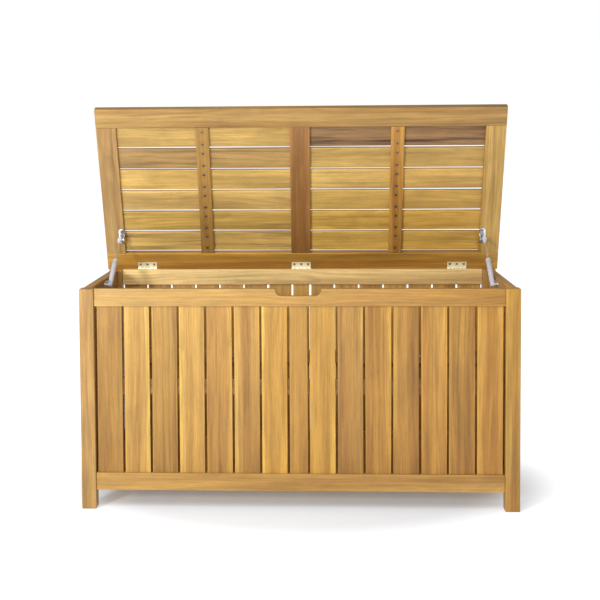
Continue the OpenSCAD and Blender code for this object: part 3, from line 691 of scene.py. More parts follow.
def wood(name, light, dark, ring_width, ring_depth=0.11, streak_depth=0.10, mottle=0.09):
    """Oiled timber. All of it follows the board's own grain (length, width, depth from the pith).
    Growth rings: distance from the pith, strayed by slow noise along the board, over the ring's width; each
    ring darkens towards its late wood and falls back. Heartwood: broad bands of slow noise. Sapwood: a pale
    strip with a wavy border, where the board has one. Veins: dark wisps, as strong as the board says.
    Streaks, lines, threads and fibres: finer noise drawn out along the grain. Pores: short dark dashes.
    Blotches: the cloudy figure of the wood. The board's calm evens out the heartwood, streaks and lines.
    Rims are slightly worn, and painted shade darkens whatever has a rim below nothing, in gaps, holes and
    recesses."""
    f = Finish(name)
    grain = f.attribute("grain")
    tint = f.attribute("tint")
    figure = f.node("ShaderNodeSeparateXYZ")
    f.put(f.attribute("figure"), figure.inputs[0])
    slow = f.vector_math("SUBTRACT", f.noise(f.stretched(grain, (1.7, 6.0, 6.0)), detail=1.5, output=1),
                         (0.5, 0.5, 0.5))
    strayed = f.vector_math("ADD", grain, f.stretched(slow, (0.0, 0.075, 0.075)))
    gently = f.vector_math("ADD", grain, f.stretched(slow, (0.0, 0.025, 0.025)))
    pith = f.vector_math("LENGTH", f.stretched(strayed, (0.0, 1.0, 1.0)))
    phase = f.math("ADD", f.math("DIVIDE", pith, ring_width),
                   f.math("MULTIPLY", f.noise(f.stretched(gently, (2.5, 32.0, 32.0)), detail=2.0), 1.6))
    ring = f.math("FRACT", phase)
    late = f.math("MULTIPLY", f.spread(ring, 0.1, 0.9), f.spread(ring, 1.0, 0.9))
    strong = f.spread(f.noise(f.stretched(gently, (1.0, 22.0, 22.0)), detail=1.0), 0.42, 0.66, 0.1, 1.0)
    late = f.math("MULTIPLY", late, strong)
    lively = f.math("SUBTRACT", 1.0, figure.outputs[2])

    def calmed(value, rest):
        return f.math("ADD", rest, f.math("MULTIPLY", f.math("SUBTRACT", value, rest), lively))

    bands = f.noise(f.stretched(gently, (0.9, 21.0, 21.0)), detail=2.5, roughness=0.55)
    heartwood = calmed(f.spread(bands, 0.38, 0.68), 0.4)
    wave = f.math("MULTIPLY", f.noise(f.stretched(grain, (3.0, 30.0, 30.0)), detail=1.5), 0.9)
    fading = f.spread(f.noise(f.stretched(grain, (3.0, 4.0, 4.0)), detail=1.0), 0.38, 0.6, 0.15, 1.0)
    sapwood = f.math("MULTIPLY", f.spread(f.math("ADD", figure.outputs[0], wave), 0.4, 0.8), fading)
    wisps = f.noise(f.stretched(gently, (2.4, 75.0, 75.0)), detail=3.5, roughness=0.6)
    veins = f.math("MULTIPLY", f.spread(wisps, 0.47, 0.68), figure.outputs[1], clamp=True)
    streaks = calmed(f.noise(f.stretched(gently, (1.8, 60.0, 60.0)), detail=3.0, roughness=0.55), 0.5)
    fibres = f.noise(f.stretched(grain, (12.0, 420.0, 420.0)), detail=3.0, roughness=0.65)
    threads = f.noise(f.stretched(gently, (5.0, 170.0, 170.0)), detail=3.0, roughness=0.7)
    lines = f.spread(f.noise(f.stretched(gently, (1.8, 115.0, 115.0)), detail=2.5, roughness=0.6), 0.53, 0.6)
    here = f.spread(f.noise(f.stretched(gently, (1.3, 15.0, 15.0)), detail=1.0), 0.45, 0.62, 0.1, 1.0)
    lines = f.math("MULTIPLY", f.math("MULTIPLY", lines, here), lively)
    blotch = f.noise(f.stretched(gently, (7.0, 17.0, 17.0)), detail=4.0, roughness=0.62, distortion=0.5)
    pores = f.spread(f.noise(f.stretched(grain, (60.0, 1500.0, 1500.0)), detail=1.0), 0.63, 0.72)
    rim = f.attribute("rim", "Fac")
    factors = (
        f.spread(late, 0.0, 1.0, 1.0, 1 - ring_depth),
        f.spread(streaks, 0.3, 0.7, 1 + 0.4 * streak_depth, 1 - streak_depth),
        f.spread(fibres, 0.3, 0.7, 1.07, 0.9),
        f.spread(threads, 0.35, 0.65, 1.08, 0.9),
        f.spread(lines, 0.0, 1.0, 1.02, 1 - 1.8 * streak_depth),
        f.spread(blotch, 0.28, 0.72, 1 - mottle, 1 + mottle),
        f.spread(pores, 0.0, 1.0, 1.0, 0.8),
        f.spread(rim, 0.0, 1.0, 1.0, 1.07),
        # painted shade where the rim is below nothing
        f.spread(rim, -1.0, 0.0, 0.22, 1.0))
    shade = factors[0]
    for factor in factors[1:]:
        shade = f.math("MULTIPLY", shade, factor)
    sap = tuple(min(1.0, c * gain) for c, gain in zip(light, (1.25, 1.42, 1.5)))
    body = f.mix(heartwood, light, dark)
    body = f.mix(f.math("MULTIPLY", sapwood, 0.55), body, sap)
    # late wood is redder as well as darker
    body = f.mix(f.math("MULTIPLY", late, 0.3), body, f.mix(1.0, body, (1.0, 0.86, 0.72), "MULTIPLY"))
    body = f.mix(veins, body, f.mix(1.0, body, (0.3, 0.25, 0.38), "MULTIPLY"))
    timber = f.mix(1.0, f.mix(1.0, body, tint, "MULTIPLY"), f.even(shade), "MULTIPLY")
    rough = f.spread(f.math("ADD", f.math("MULTIPLY", streaks, 0.6), f.math("MULTIPLY", fibres, 0.4)),
                     0.3, 0.7, 0.4, 0.58)
    height = f.math("SUBTRACT", f.math("ADD", f.math("MULTIPLY", fibres, 0.5),
                                       f.math("MULTIPLY", streaks, 0.35)),
                    f.math("ADD", f.math("MULTIPLY", late, 0.12), f.math("MULTIPLY", pores, 0.6)))
    normal = f.bump(height, 0.3 * MM, 0.5)
    return f.finish(Base_Color=timber, Roughness=rough, Normal=normal, Specular_IOR_Level=0.4)


def metal(name, tone, roughness, brush=(300.0, 300.0, 300.0), metallic=1.0, grime=0.25):
    """Plated or painted metal: cloudy noise dulls the finish, fine drawn-out noise gives tool marks, sparse
    specks of dirt gather, and painted shade darkens whatever has a rim below nothing."""
    f = Finish(name)
    place = f.object_place()
    cloud = f.noise(f.stretched(place, (60.0, 60.0, 60.0)), detail=3.0, roughness=0.6)
    marks = f.noise(f.stretched(place, brush), detail=3.0, roughness=0.6)
    specks = f.spread(f.noise(f.stretched(place, (900.0, 900.0, 900.0)), detail=1.0), 0.68, 0.78)
    shade = f.math("MULTIPLY", f.spread(cloud, 0.3, 0.7, 1 - grime * 0.5, 1.0),
                   f.spread(marks, 0.3, 0.7, 0.95, 1.0))
    shade = f.math("MULTIPLY", shade, f.math("SUBTRACT", 1.0, f.math("MULTIPLY", specks, 0.25)))
    # painted shade where the rim is below nothing
    shade = f.math("MULTIPLY", shade, f.spread(f.attribute("rim", "Fac"), -1.0, 0.0, 0.08, 1.0))
    rough = f.math("ADD", f.spread(cloud, 0.3, 0.7, roughness * 0.8, roughness * 1.25),
                   f.spread(marks, 0.3, 0.7, 0.0, 0.08))
    normal = f.bump(f.math("ADD", marks, f.math("MULTIPLY", cloud, 0.5)), 0.02 * MM, 0.6)
    return f.finish(Base_Color=f.mix(1.0, tone, f.even(shade), "MULTIPLY"), Roughness=rough,
                    Metallic=metallic, Normal=normal)


def make_materials():
    colours = bpy.context.scene.deck_colours
    ring = bpy.context.scene.deck_sizes.ring_width

    def pair(name):
        return tuple(getattr(colours, name + "_light")), tuple(getattr(colours, name + "_dark"))

    MATERIALS.update({
        "frame_wood": wood("frame_wood", *pair("frame"), ring),
        "slat_wood": wood("slat_wood", *pair("slat"), ring),
        "inner_wood": wood("inner_wood", *pair("frame"), ring),
        "lid_frame_wood": wood("lid_frame_wood", *pair("frame"), ring),
        "lid_slat_wood": wood("lid_slat_wood", *pair("lid"), ring, mottle=0.12),
        "dark_wood": wood("dark_wood", *pair("umber"), ring),
        "batten_wood": wood("batten_wood", *pair("batten"), ring),
        "hinge_brass": metal("hinge_brass", tuple(colours.brass), 0.34, metallic=0.55),
        "screw_steel": metal("screw_steel", tuple(colours.steel), 0.36),
        "bracket_steel": metal("bracket_steel", tuple(colours.zinc), 0.3),
        "rod_chrome": metal("rod_chrome", tuple(colours.chrome), 0.16, (200.0, 900.0, 900.0), grime=0.1),
        "strut_grey": metal("strut_grey", tuple(colours.strut), 0.4, metallic=0.0, grime=0.15),
    })


# ---- Operators ------------------------------------------------------------


def finish_sizes():
    """The sizes that a user may change."""
    return bpy.context.scene.deck_sizes


def post_faces():
    """Inner faces of the posts: x of the left and right ones and y of the front and back ones."""
    left, right = node_box("post_front_left"), node_box("post_back_right")
    return left[1][0], right[0][0], left[1][1], right[0][1]


class BuildMaterials(bpy.types.Operator):
    """Makes the woods and metals."""

    bl_idname = "deck_box.materials"
    bl_label = "Materials"

    def execute(self, context):
        make_materials()
        return {"FINISHED"}


class BuildPosts(bpy.types.Operator):
    """Four square posts with rounded edges."""

    bl_idname = "deck_box.posts"
    bl_label = "Posts"

    def execute(self, context):
        # the front right post's two tones are painted light: darker at its foot and lighter at its top, for
        # light falling off downwards
        tones = {"post_front_left": ((0.86, 0.88, 0.88), 0, 0.4),
                 "post_front_right": (((0.65, 0.55, 0.36), (1.1, 1.12, 0.72)), -20, 0.2),
                 "post_back_left": (0.95, 0, 0.1), "post_back_right": (0.9, 18, 0.2)}
        for k, (node, (tone, sap, veins)) in enumerate(tones.items()):
            part = board(node_box(node), 2, tone, 100 + k, finish_sizes().post_edge, sap=sap, veins=veins)
            make_piece(node + "_board", [part], node, "frame_wood")
        return {"FINISHED"}


class BuildRails(bpy.types.Operator):
    """Top and bottom rails between the posts, the front one with its finger notch and the back one with
    seats for the hinge leaves."""

    bl_idname = "deck_box.rails"
    bl_label = "Rails"

    def execute(self, context):
        left, right, front, back = post_faces()
        edge = finish_sizes().board_edge
        # the back top rail's tone is a painted highlight: far paler and less yellow, for the light and sheen
        # on its inner face
        tones = {"front_top_rail": ((1.03, 1.15, 1.2), (0.79, 0.7, 0.46)),
                 "front_bottom_rail": (0.96, 0.97, 0.83), "back_top_rail": (1.68, 2.13, 3.15),
                 "back_bottom_rail": 0.95, "left_top_rail": 0.98, "left_bottom_rail": 0.95,
                 "right_top_rail": 0.98, "right_bottom_rail": 0.95}
        for k, (node, tone) in enumerate(tones.items()):
            long = node.startswith(("front", "back"))
            box = clipped(node_box(node), 0 if long else 1, left if long else front, right if long else back)
            if node == "front_top_rail":
                part = notched_board(box, tone, 120 + k, edge, calm=0.75)
            elif node == "back_top_rail":
                seats = [(low[0] - MM, high[0] + MM) for low, high in solid_boxes("hinge_leaves_lower")]
                line = node_box("hinge_leaves_lower")[0][1] - 0.1 * MM
                part = housed_board(box, seats, [(line, LEAF_THICKNESS)], 1, tone, 120 + k, edge)
            else:
                part = board(box, 0 if long else 1, tone, 120 + k, edge)
            make_piece(node + "_board", [part], node, "frame_wood")
        return {"FINISHED"}


class BuildWalls(bpy.types.Operator):
    """Upright slats of the four walls."""

    bl_idname = "deck_box.walls"
    bl_label = "Wall slats"

    def execute(self, context):
        tones = {
            "front_slats": ((0.73, 0.7, 0.68), (1.03, 1.08, 1.17), 0.81, (1.2, 1.32, 1.46),
                            (1.12, 1.15, 1.26), (0.93, 0.94, 1.04), (1.18, 1.23, 1.15), (0.85, 0.82, 0.76),
                            (1.04, 1.06, 0.94), (0.75, 0.71, 0.75), (0.83, 0.77, 0.67), (0.75, 0.69, 0.64),
                            (1.12, 1.1, 1.03), (0.84, 0.79, 0.69), (1.05, 1.01, 0.87)),
            "back_slats": (1.0, 1.06, 0.98, 1.02, 1.1, 0.96, 1.0, 1.05, 0.97, 1.03, 0.95, 1.06, 1.0, 0.98,
                           1.02),
            "left_slats": (1.0, 1.06, 0.96, 1.03, 1.0, 0.97),
            "right_slats": (0.97, 1.04, 1.0, 0.95, 1.05, 1.0)}
        sap = {"front_slats": (0, 11, 5, 0, 0, -14, -9, 0, 16, 9, 12, -15, 0, 0, 0),
               "back_slats": (0, 0, 12, 0, -15, 0, 0, 10, 0, 0, -12, 0, 8, 0, 0),
               "left_slats": (0, 12, 0, -9, 0, 0), "right_slats": (0, 0, 14, 0, -8, 0)}
        veined = {4: 0.3, 9: 0.25, 12: 0.35, 13: 0.3}
        # painted light: the front wall is coloured lighter towards its top and darker towards its foot, for
        # light falling off downwards
        painted_top_light = {"front_slats": np.array([(0.96, 0.92, 0.84), (1.05, 1.08, 1.14)])}
        sizes = finish_sizes()
        for k, (node, values) in enumerate(tones.items()):
            wall = node.split("_")[0]
            low = node_box(wall + "_bottom_rail")[1][2] - HOUSING
            high = node_box(wall + "_top_rail")[0][2] + HOUSING
            parts = [board(clipped(box, 2, low, high), 2, np.array(tone) * painted_top_light.get(node, 1.0),
                           200 + 20 * k + n, sizes.board_edge, sizes.wander, sap=sap[node][n],
                           veins=veined.get(n, 0.1), sides=GAP_SHADE)
                     for n, (box, tone) in enumerate(zip(solid_boxes(node), values))]
            make_piece(node + "_boards", parts, node, "slat_wood")
        return {"FINISHED"}


class BuildFloor(bpy.types.Operator):
    """Inner battens, floor ledgers, stretcher and floor slats."""

    bl_idname = "deck_box.floor"
    bl_label = "Floor and inner battens"

    def execute(self, context):
        plain = {"front_inner_batten": 0, "back_inner_batten": 0, "front_floor_ledger": 0,
                 "back_floor_ledger": 0, "floor_stretcher": 0, "floor_slats_row": 1}
        draw = np.random.default_rng(31)
        for k, (node, along) in enumerate(plain.items()):
            parts = [board(box, along, draw.uniform(0.9, 1.06), 300 + 20 * k + n, finish_sizes().board_edge)
                     for n, box in enumerate(solid_boxes(node))]
            make_piece(node + "_board", parts, node, "inner_wood")
        return {"FINISHED"}


class BuildLidFrame(bpy.types.Operator):
    """Lid rails across the full width, the rear one with seats for the hinges, and the three stiles."""

    bl_idname = "deck_box.lid_frame"
    bl_label = "Lid frame"

    def execute(self, context):
        edge = finish_sizes().board_edge
        front, rear = node_box("lid_front_rail"), node_box("lid_rear_rail")
        make_piece("lid_front_rail_board", [board(front, 0, (0.83, 0.87, 0.89), 400, edge, veins=0.3)],
                   "lid_front_rail", "lid_frame_wood")
        seats = [(low[0] - MM, high[0] + MM) for low, high in solid_boxes("hinge_leaves_upper")]
        cuts = [(HINGE_LINE[1] - LEAF_REACH - 0.1 * MM, LEAF_THICKNESS),
                (HINGE_LINE[1] - BARREL_SEAT, BARREL_SEAT)]
        part = housed_board(rear, seats, cuts, -1, (0.96, 0.9, 0.54), 401, edge)
        make_piece("lid_rear_rail_board", [part], "lid_rear_rail", "lid_frame_wood")
        for k, (name, tone) in enumerate((("left", (0.93, 1.02, 1.27)), ("right", (0.99, 1.09, 1.04)),
                                          ("centre", (0.87, 0.79, 0.59)))):
            node = f"lid_{name}_stile"
            box = clipped(node_box(node), 1, front[1][1], rear[0][1])
            slot = "dark_wood" if name == "centre" else "lid_frame_wood"
            make_piece(node + "_board", [board(box, 1, tone, 410 + k, edge)], node, slot)
        return {"FINISHED"}


class BuildLidSlats(bpy.types.Operator):
    """Slats of the two bays of the lid."""

    bl_idname = "deck_box.lid_slats"
    bl_label = "Lid slats"

    def execute(self, context):
        centre = node_box("lid_centre_stile")
        outer = {"left": node_box("lid_left_stile")[1][0], "right": node_box("lid_right_stile")[0][0]}
        tones = {"left": (0.86, (0.7, 0.67, 0.78), 1.0, (1.05, 1.07, 1.18), (0.95, 0.95, 0.83),
                          (1.15, 1.2, 1.25)),
                 "right": ((0.46, 0.4, 0.54), 0.86, 1.1, (1.0, 0.98, 0.88), (1.03, 0.98, 0.7),
                           (1.04, 1.0, 0.78))}
        ends = {"left": (1.0, 1.0, 1.0), "right": [(1.03, 1.05, 1.08), (0.93, 0.89, 0.85)]}
        veins = {"left": (0.15, 0.45, 0.15, 0.2, 0.2, 0.6), "right": (1.0, 0.15, 0.2, 0.15, 0.1, 0.15)}
        for name, side in SIDES.items():
            low, high = ((outer["left"], centre[0][0]) if side < 0 else (centre[1][0], outer["right"]))
            node = f"lid_slats_{name}"
            parts = [board(clipped(box, 0, low - HOUSING, high + HOUSING), 0,
                           np.array(tone) * np.array(ends[name]), 440 + 10 * (side + 1) + n,
                           finish_sizes().board_edge, finish_sizes().wander, veins=veins[name][n])
                     for n, (box, tone) in enumerate(zip(solid_boxes(node), tones[name]))]
            make_piece(node + "_boards", parts, node, "lid_slat_wood")
        return {"FINISHED"}


class BuildLidBattens(bpy.types.Operator):
    """Battens under the lid slats, bored for their screws, and those screws."""

    bl_idname = "deck_box.lid_battens"
    bl_label = "Lid battens"

    def execute(self, context):
        counterbore, depth = finish_sizes().counterbore, finish_sizes().counterbore_depth
        screws = sorted(middles("lid_batten_screws"), key=lambda place: (place[0] > 0, place[1]))
        for k, (name, side) in enumerate(SIDES.items()):
            node = f"lid_batten_{name}"
            low, high = node_box(node)
            rows = [place[1] for place in screws if place[0] * side > 0]
            # drawn with its bored face up, then turned over to face down
            part = drilled_plate((low[1], high[1]), (low[0], high[0]), -high[2], -low[2], 1.2 * MM,
                                 (rows, (low[0] + high[0]) / 2), counterbore, depth, flare=0.4 * MM)
            tone = ((0.83, 0.81, 0.68), (1.03, 0.91, 0.58))[k]
            part = wooden(mapped(turned_over(part), "yxz"), 1, tone, 470 + k)
            make_piece(node + "_board", [part], node, "batten_wood")
        floor_z = node_box("lid_batten_left")[0][2] + depth
        # the heads are darkened all over with painted shade, as they sit sunk in the counterbores
        heads = [set_up(screw_head(3.6 * MM, 0.25 * MM, 0.35 * MM, 0.9 * MM, dull=0.55),
                        (place[0], place[1], floor_z + 0.05 * MM), (0, 0, -1),
                        (math.cos(k * 1.9), math.sin(k * 1.9), 0))
                 for k, place in enumerate(screws)]
        make_piece("lid_batten_screw_heads", heads, "lid_batten_screws", "screw_steel")
        return {"FINISHED"}


class BuildInnerScrews(bpy.types.Operator):
    """Round-headed screws along the inner battens."""

    bl_idname = "deck_box.inner_screws"
    bl_label = "Inner batten screws"

    def execute(self, context):
        parts = []
        for k, middle in enumerate(middles("inner_batten_screws")):
            front = middle[1] < 0
            batten = node_box("front_inner_batten" if front else "back_inner_batten")
            face = batten[1][1] if front else batten[0][1]
            parts.append(set_up(screw_head(3.5 * MM, 0.8 * MM, 0.9 * MM, 1.1 * MM),
                                (middle[0], face, middle[2]), (0, 1 if front else -1, 0),
                                (math.cos(k * 2.3), 0, math.sin(k * 2.3))))
        make_piece("inner_batten_screw_heads", parts, "inner_batten_screws", "screw_steel")
        return {"FINISHED"}


def knuckles(pin, owned, edge):
    """Knuckles of one leaf: rounded discs carried along the pin, the owned ones of a barrel split in five."""
    pitch, gap = LEAF_WIDTH / 5, 1.0 * MM
    loop = arc((0, 0), BARREL, 0, 360, 32)[:-1]
    parts = []
    for k in owned:
        part = plate(loop, 0, pitch - gap, edge)
        # painted shade darkens the knuckles towards their ends, in the slits between them
        nearest = np.minimum(part["points"][:, 2], pitch - gap - part["points"][:, 2])
        part["rim"] = -np.clip(1 - nearest / edge, 0, 1)
        start = pin[0] - LEAF_WIDTH / 2 + k * pitch + gap / 2
        parts.append(moved(mapped(part, "yzx"), (start, pin[1], pin[2])))
    return parts


class BuildHinges(bpy.types.Operator):
    """Three butt hinges: leaves with countersunk holes and rolled knuckles, pins and screws."""

    bl_idname = "deck_box.hinges"
    bl_label = "Hinges"

    def execute(self, context):
        edge = finish_sizes().metal_edge
        pins = middles("hinge_pins")
        half = LEAF_WIDTH / 2
        rail_top = node_box("back_top_rail")[1][2]
        for name, owned, face in (("lower", (0, 2, 4), 1), ("upper", (1, 3), -1)):
            node = "hinge_leaves_" + name
            screws = middles("hinge_screws_" + name)
            parts = []
            for pin in pins:
                mine = sorted([s for s in screws if abs(s[0] - pin[0]) < half], key=lambda s: s[0])
                top = rail_top if face > 0 else -pin[2]
                leaf = drilled_plate((pin[0] - half, pin[0] + half), (pin[1] - LEAF_REACH, pin[1] - LEAF_GAP),
                                     top - LEAF_THICKNESS, top, edge, ([s[0] for s in mine], mine[0][1]),
                                     3.75 * MM, 1.0 * MM, flare=0.15 * MM, wear=0.0)
                parts.append(leaf if face > 0 else turned_over(leaf))
                parts += knuckles(pin, owned, edge)
            make_piece(node + "_brass", parts, node, "hinge_brass")
            level = (rail_top if face > 0 else pins[0][2]) - face * 0.4 * MM
            # the heads are darkened all over with painted shade, as they sit sunk in the leaves' holes
            heads = [set_up(screw_head(3.5 * MM, 0.1 * MM, 0.15 * MM, 0.9 * MM, dull=0.65),
                            (s[0], s[1], level), (0, 0, face), (math.cos(k * 1.3), math.sin(k * 1.3), 0))
                     for k, s in enumerate(screws)]
            make_piece(f"hinge_screws_{name}_heads", heads, "hinge_screws_" + name, "hinge_brass")
        end = half + 0.8 * MM
        profile = [(0, -end), (1.2 * MM, -end), (1.5 * MM, -end + 0.3 * MM),
                   (1.5 * MM, end - 0.3 * MM), (1.2 * MM, end), (0, end)]
        rods = [set_up(turned_solid(profile, 20), pin, (1, 0, 0), (0, 1, 0)) for pin in pins]
        make_piece("hinge_pins_brass", rods, "hinge_pins", "hinge_brass")
        return {"FINISHED"}


def ball_stud(length, collar, collar_height, radius):
    """Profile (r, w) of a stud with its ball's middle at w = 0: a collar at its foot, a stem, and the ball,
    r = R cos t and w = R sin t, from where the stem meets it to its pole."""
    stem = [(0, -length), (collar, -length), (collar, collar_height - length), (2.2 * MM, 2 * MM - length)]
    t = np.radians(np.linspace(-60, 90, 11))[:-1]
    return stem + [(radius * math.cos(k), radius * math.sin(k)) for k in t] + [(0, radius)]


def upper_bracket(side, ball_at, screw, under, edge):
    """Bracket under the lid for one strut. A plate lies against the stile, straight towards the hinge and
    round past its far screw; a flange hangs from its inner edge, round below the ball; and the ball's stud
    stands on the flange."""
    r, corner, nose = 9.5 * MM, 2 * MM, 9 * MM
    inner = ball_at[0] - side * 13.5 * MM
    low, high = sorted((inner, screw[0] + side * r))
    far, near = screw[1], screw[1] + BRACKET_REACH
    flat = np.concatenate([arc((high - corner, near - corner), corner, 0, 90, 3),
                           arc((low + corner, near - corner), corner, 90, 180, 3),
                           arc((low + r, far), r, 180, 270, 8), arc((high - r, far), r, 270, 360, 8)])
    y, z = ball_at[1], ball_at[2]
    flange = np.concatenate([arc((y, z), nose, 180, 360, 16),
                             [[y + nose, under - 1 * MM], [y - nose, under - 1 * MM]]])
    wing = plate(flange, *sorted((inner, inner + side * BRACKET)), edge)
    stud = ball_stud(abs(ball_at[0] - inner - side * 2 * MM), 3.4 * MM, 1.4 * MM, 5 * MM)
    return [plate(flat, under - BRACKET, under, edge), mapped(wing, "yzx"),
            set_up(turned_solid(stud, 24), ball_at, (side, 0, 0), (0, 1, 0))]


def lower_bracket(box, edge):
    """Bracket on a side rail: a plate with half-round ends, carried through its thickness along x."""
    low, high = box
    r = (high[2] - low[2]) / 2
    loop = np.concatenate([arc((high[1] - r, low[2] + r), r, -90, 90, 12),
                           arc((low[1] + r, low[2] + r), r, 90, 270, 12)])
    return mapped(plate(loop, low[0], high[0], edge), "yzx")


class BuildBrackets(bpy.types.Operator):
    """Strut brackets under the lid and on the side rails, with their ball studs and screws."""

    bl_idname = "deck_box.brackets"
    bl_label = "Strut brackets"

    def execute(self, context):
        edge = finish_sizes().metal_edge
        heads = {"upper": [], "lower": []}
        for name, side in SIDES.items():
            own = {row: [s for s in middles("strut_screws_" + row) if s[0] * side > 0] for row in heads}
            ball_at = turned(np.array([JOINTS[f"rod_{name}_pivot"]["pos_m"]]), LID_OPEN)[0]
            under = node_box(f"lid_{name}_stile")[0][2]
            screws = sorted(own["upper"], key=lambda s: s[1])
            node = f"strut_bracket_upper_{name}"
            parts = upper_bracket(side, ball_at, screws[0], under, edge)
            make_piece(node + "_steel", parts, node, "bracket_steel")
            heads["upper"] += [set_up(screw_head(6 * MM, 1.1 * MM, 1.0 * MM, 1.3 * MM),
                                      (s[0], s[1], under - BRACKET), (0, 0, -1),
                                      (math.cos(k + side), math.sin(k + side), 0))
                               for k, s in enumerate(screws)]
            node = f"strut_bracket_lower_{name}"
            box = node_box(node)
            make_piece(node + "_steel", [lower_bracket(box, edge)], node, "bracket_steel")
            face = box[1 if side < 0 else 0][0] - side * 0.02 * MM
            heads["lower"] += [set_up(screw_head(3.7 * MM, 0.3 * MM, 0.3 * MM, 0.5 * MM),
                                      (face, s[1], s[2]), (-side, 0, 0), (0, math.cos(k), math.sin(k)))
                               for k, s in enumerate(own["lower"])]
        for row, parts in heads.items():
            make_piece(f"strut_screws_{row}_heads", parts, "strut_screws_" + row, "bracket_steel")
        return {"FINISHED"}


# profiles (r, w) of the struts' parts in millimetres, from the middle of a ball: the cup of the ball sockets
# about the stud's axis, hollow at its upper end, and the rest about the strut's
CUP = ((0, -7), (5.6, -7), (6.5, -6.7), (7, -6), (7, 3.6), (6.7, 4.6), (6.1, 5), (5.5, 4.9), (5.1, 4.4),
       (5.05, 0), (4.4, -2.6), (2.6, -4.4), (0, -5))
UPPER_NECK = ((0, -17), (4.2, -17), (4.6, -16.5), (4.6, -9), (5.2, -7), (5.4, -4), (0, -3.9))
LOWER_NECK = ((0, 3.9), (5.4, 4), (5.2, 7), (5.0, 10), (0, 10))
TUBE = ((0, 8.5), (6.6, 8.5), (7.3, 9.2), (7.5, 10.2), (7.5, 112.5), (7.2, 113), (7.1, 114), (7.2, 115),
        (7.5, 115.5), (7.5, 119.2), (7.2, 120.6), (6.2, 121.7), (5, 122), (3.3, 121.8), (3.25, 120),
        (0, 119.9))
PISTON = ((0, 95), (5.8, 95), (5.8, 102), (3, 102.6))


def turned_part(profile, segments, origin, w, u=(1.0, 0.0, 0.0)):
    """Solid of revolution of a profile in millimetres, set up at an origin."""
    return set_up(turned_solid(np.array(profile) * MM, segments), origin, w, u)


class BuildStruts(bpy.types.Operator):
    """Gas struts: sockets, rods, cylinders and lower ball studs."""

    bl_idname = "deck_box.struts"
    bl_label = "Gas struts"

    def execute(self, context):
        for name, side in SIDES.items():
            top = np.array(JOINTS[f"rod_{name}_pivot"]["pos_m"])
            stud_low, stud_high = node_box(f"strut_stud_{name}")
            foot = (stud_low + stud_high) / 2
            foot[0] = top[0]
            length = np.linalg.norm(top - foot)
            axis = (top - foot) / length
            node = f"strut_socket_{name}"
            socket = [turned_part(CUP, 32, top, (-side, 0, 0), (0, 1, 0)),
                      turned_part(UPPER_NECK, 28, top, axis)]
            make_piece(node + "_cup", socket, node, "strut_grey")
            node = f"strut_rod_{name}"
            rod = PISTON + ((3, length / MM - 15), (0, length / MM - 14.5))
            make_piece(node + "_rod", [turned_part(rod, 24, foot, axis)], node, "rod_chrome")
            node = f"strut_cylinder_{name}"
            body = [turned_part(TUBE, 40, foot, axis), turned_part(LOWER_NECK, 28, foot, axis),
                    turned_part(CUP, 32, foot, (side, 0, 0), (0, 1, 0))]
            make_piece(node + "_tube", body, node, "strut_grey")
            node = f"strut_stud_{name}"
            reach = abs((stud_high if side > 0 else stud_low)[0] - foot[0])
            stud = turned_solid(ball_stud(reach, 5.5 * MM, 1.6 * MM, 4.9 * MM), 24)
            make_piece(node + "_ball", [set_up(stud, foot, (-side, 0, 0), (0, 1, 0))], node, "bracket_steel")
        return {"FINISHED"}


def studio_floor(studio, tone):
    """A square sheet 60 m wide just below the feet. It glows by itself, painted light that makes the far floor
    plain white, and glows less near the box, a painted shadow round it; it has a faint cloud of a second tone."""
    n = 41
    x, y = np.meshgrid(np.linspace(-30, 30, n), np.linspace(-30, 30, n))
    grid = np.stack([x.ravel(), y.ravel(), np.full(x.size, -0.5 * MM)], 1)
    k = (np.arange(n - 1)[:, None] * n + np.arange(n - 1)).ravel()
    mesh = bpy.data.meshes.new("studio_floor")
    mesh.from_pydata(grid.tolist(), [], np.stack([k, k + 1, k + n + 1, k + n], 1).tolist())
    f = Finish("studio_floor")
    cloud = f.noise(f.stretched(f.object_place(), (1.5, 1.5, 1.5)), detail=2.0)
    colour_of_floor = f.mix(f.spread(cloud, 0.3, 0.7), tone, tuple(c * 0.99 for c in tone))
    away = f.vector_math("LENGTH", f.stretched(f.object_place(), (0.8, 1.0, 0.0)))
    glow = f.spread(away, 0.4, 0.68, studio.shade, studio.glow)
    mesh.materials.append(f.finish(Base_Color=colour_of_floor, Roughness=0.9, Specular_IOR_Level=0.1,
                                   Emission_Color=(0.98, 1, 1.03), Emission_Strength=glow))
    floor = bpy.data.objects.new("studio_floor", mesh)
    bpy.context.scene.collection.objects.link(floor)


def studio_sky(strength):
    """Even white light from all round, which the camera sees as plain white."""
    world = bpy.data.worlds.new("studio_sky")
    world.use_nodes = True
    nodes, links = world.node_tree.nodes, world.node_tree.links
    lit, seen = nodes["Background"], nodes.new("ShaderNodeBackground")
    for light, power in ((lit, strength), (seen, 1.0)):
        light.inputs["Color"].default_value = (1, 1, 1, 1)
        light.inputs["Strength"].default_value = power
    either = nodes.new("ShaderNodeMixShader")
    links.new(nodes.new("ShaderNodeLightPath").outputs["Is Camera Ray"], either.inputs[0])
    links.new(lit.outputs[0], either.inputs[1])
    links.new(seen.outputs[0], either.inputs[2])
    links.new(either.outputs[0], nodes["World Output"].inputs["Surface"])
    bpy.context.scene.world = world


def studio_light(name, place, target, width, power):
    """A square soft light turned towards a target."""
    light = bpy.data.lights.new(name, "AREA")
    light.size = width
    light.energy = power
    lamp = bpy.data.objects.new(name, light)
    lamp.rotation_euler = (Vector(target) - Vector(place)).to_track_quat("-Z", "Y").to_euler()
    lamp.location = place
    bpy.context.scene.collection.objects.link(lamp)


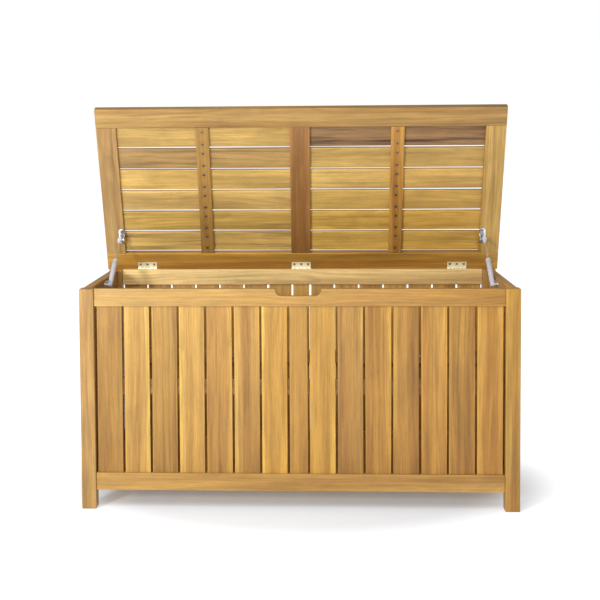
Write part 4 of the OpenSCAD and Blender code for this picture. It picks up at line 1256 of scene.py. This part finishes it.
def studio_camera(lens):
    """Camera at its place, looking along its yaw and pitch and turned about that line by its roll."""
    camera = bpy.data.cameras.new("camera")
    camera.lens = lens
    camera.sensor_width = 36
    camera.shift_x, camera.shift_y = SHIFT
    yaw, pitch, roll = (math.radians(a) for a in GAZE)
    ahead = Vector((math.sin(yaw) * math.cos(pitch), math.cos(yaw) * math.cos(pitch), -math.sin(pitch)))
    right = Vector((math.cos(yaw), -math.sin(yaw), 0))
    down = ahead.cross(right)
    level_right = right * math.cos(roll) + down * math.sin(roll)
    level_down = down * math.cos(roll) - right * math.sin(roll)
    turn = Matrix((level_right, -level_down, -ahead)).transposed().to_4x4()
    eye = bpy.data.objects.new("camera", camera)
    eye.matrix_world = Matrix.Translation(EYE) @ turn
    bpy.context.scene.collection.objects.link(eye)
    bpy.context.scene.camera = eye


class BuildStage(bpy.types.Operator):
    """Pale floor, soft studio lights and the camera."""

    bl_idname = "deck_box.stage"
    bl_label = "Studio"

    def execute(self, context):
        studio = context.scene.deck_studio
        studio_floor(studio, tuple(context.scene.deck_colours.floor))
        studio_sky(studio.sky)
        studio_light("key_light", (-0.4, -1.6, 1.85), (0.0, 0.0, 0.6), 1.4, studio.key)
        studio_light("side_light", (-2.0, -3.4, 1.3), (0.0, 0.0, 0.5), 0.5, studio.side)
        context.scene.view_settings.view_transform = "Standard"
        studio_camera(studio.lens)
        return {"FINISHED"}


STEPS = (BuildMaterials, BuildPosts, BuildRails, BuildWalls, BuildFloor, BuildInnerScrews, BuildLidFrame,
         BuildLidSlats, BuildLidBattens, BuildHinges, BuildBrackets, BuildStruts, BuildStage)


class DeckBoxPanel(bpy.types.Panel):
    """Sidebar panel with the sizes, colours and building steps."""

    bl_idname = "VIEW3D_PT_deck_box"
    bl_label = "Deck storage box"
    bl_space_type = "VIEW_3D"
    bl_region_type = "UI"
    bl_category = "Deck box"

    def draw(self, context):
        layout = self.layout
        for group in (context.scene.deck_sizes, context.scene.deck_colours, context.scene.deck_studio):
            column = layout.column(align=True)
            for key in group.__annotations__:
                column.prop(group, key)
        for step in STEPS:
            layout.operator(step.bl_idname)


GROUPS = {"deck_sizes": BoxSizes, "deck_colours": BoxColours, "deck_studio": StudioSettings}


def register():
    for kind in (*GROUPS.values(), *STEPS, DeckBoxPanel):
        bpy.utils.register_class(kind)
    for name, kind in GROUPS.items():
        setattr(bpy.types.Scene, name, PointerProperty(type=kind))


def unregister():
    for name in GROUPS:
        delattr(bpy.types.Scene, name)
    for kind in (DeckBoxPanel, *reversed(STEPS), *reversed(GROUPS.values())):
        bpy.utils.unregister_class(kind)


def main():
    register()
    for step in STEPS:
        group, name = step.bl_idname.split(".")
        getattr(getattr(bpy.ops, group), name)()


if __name__ == "__main__":
    main()
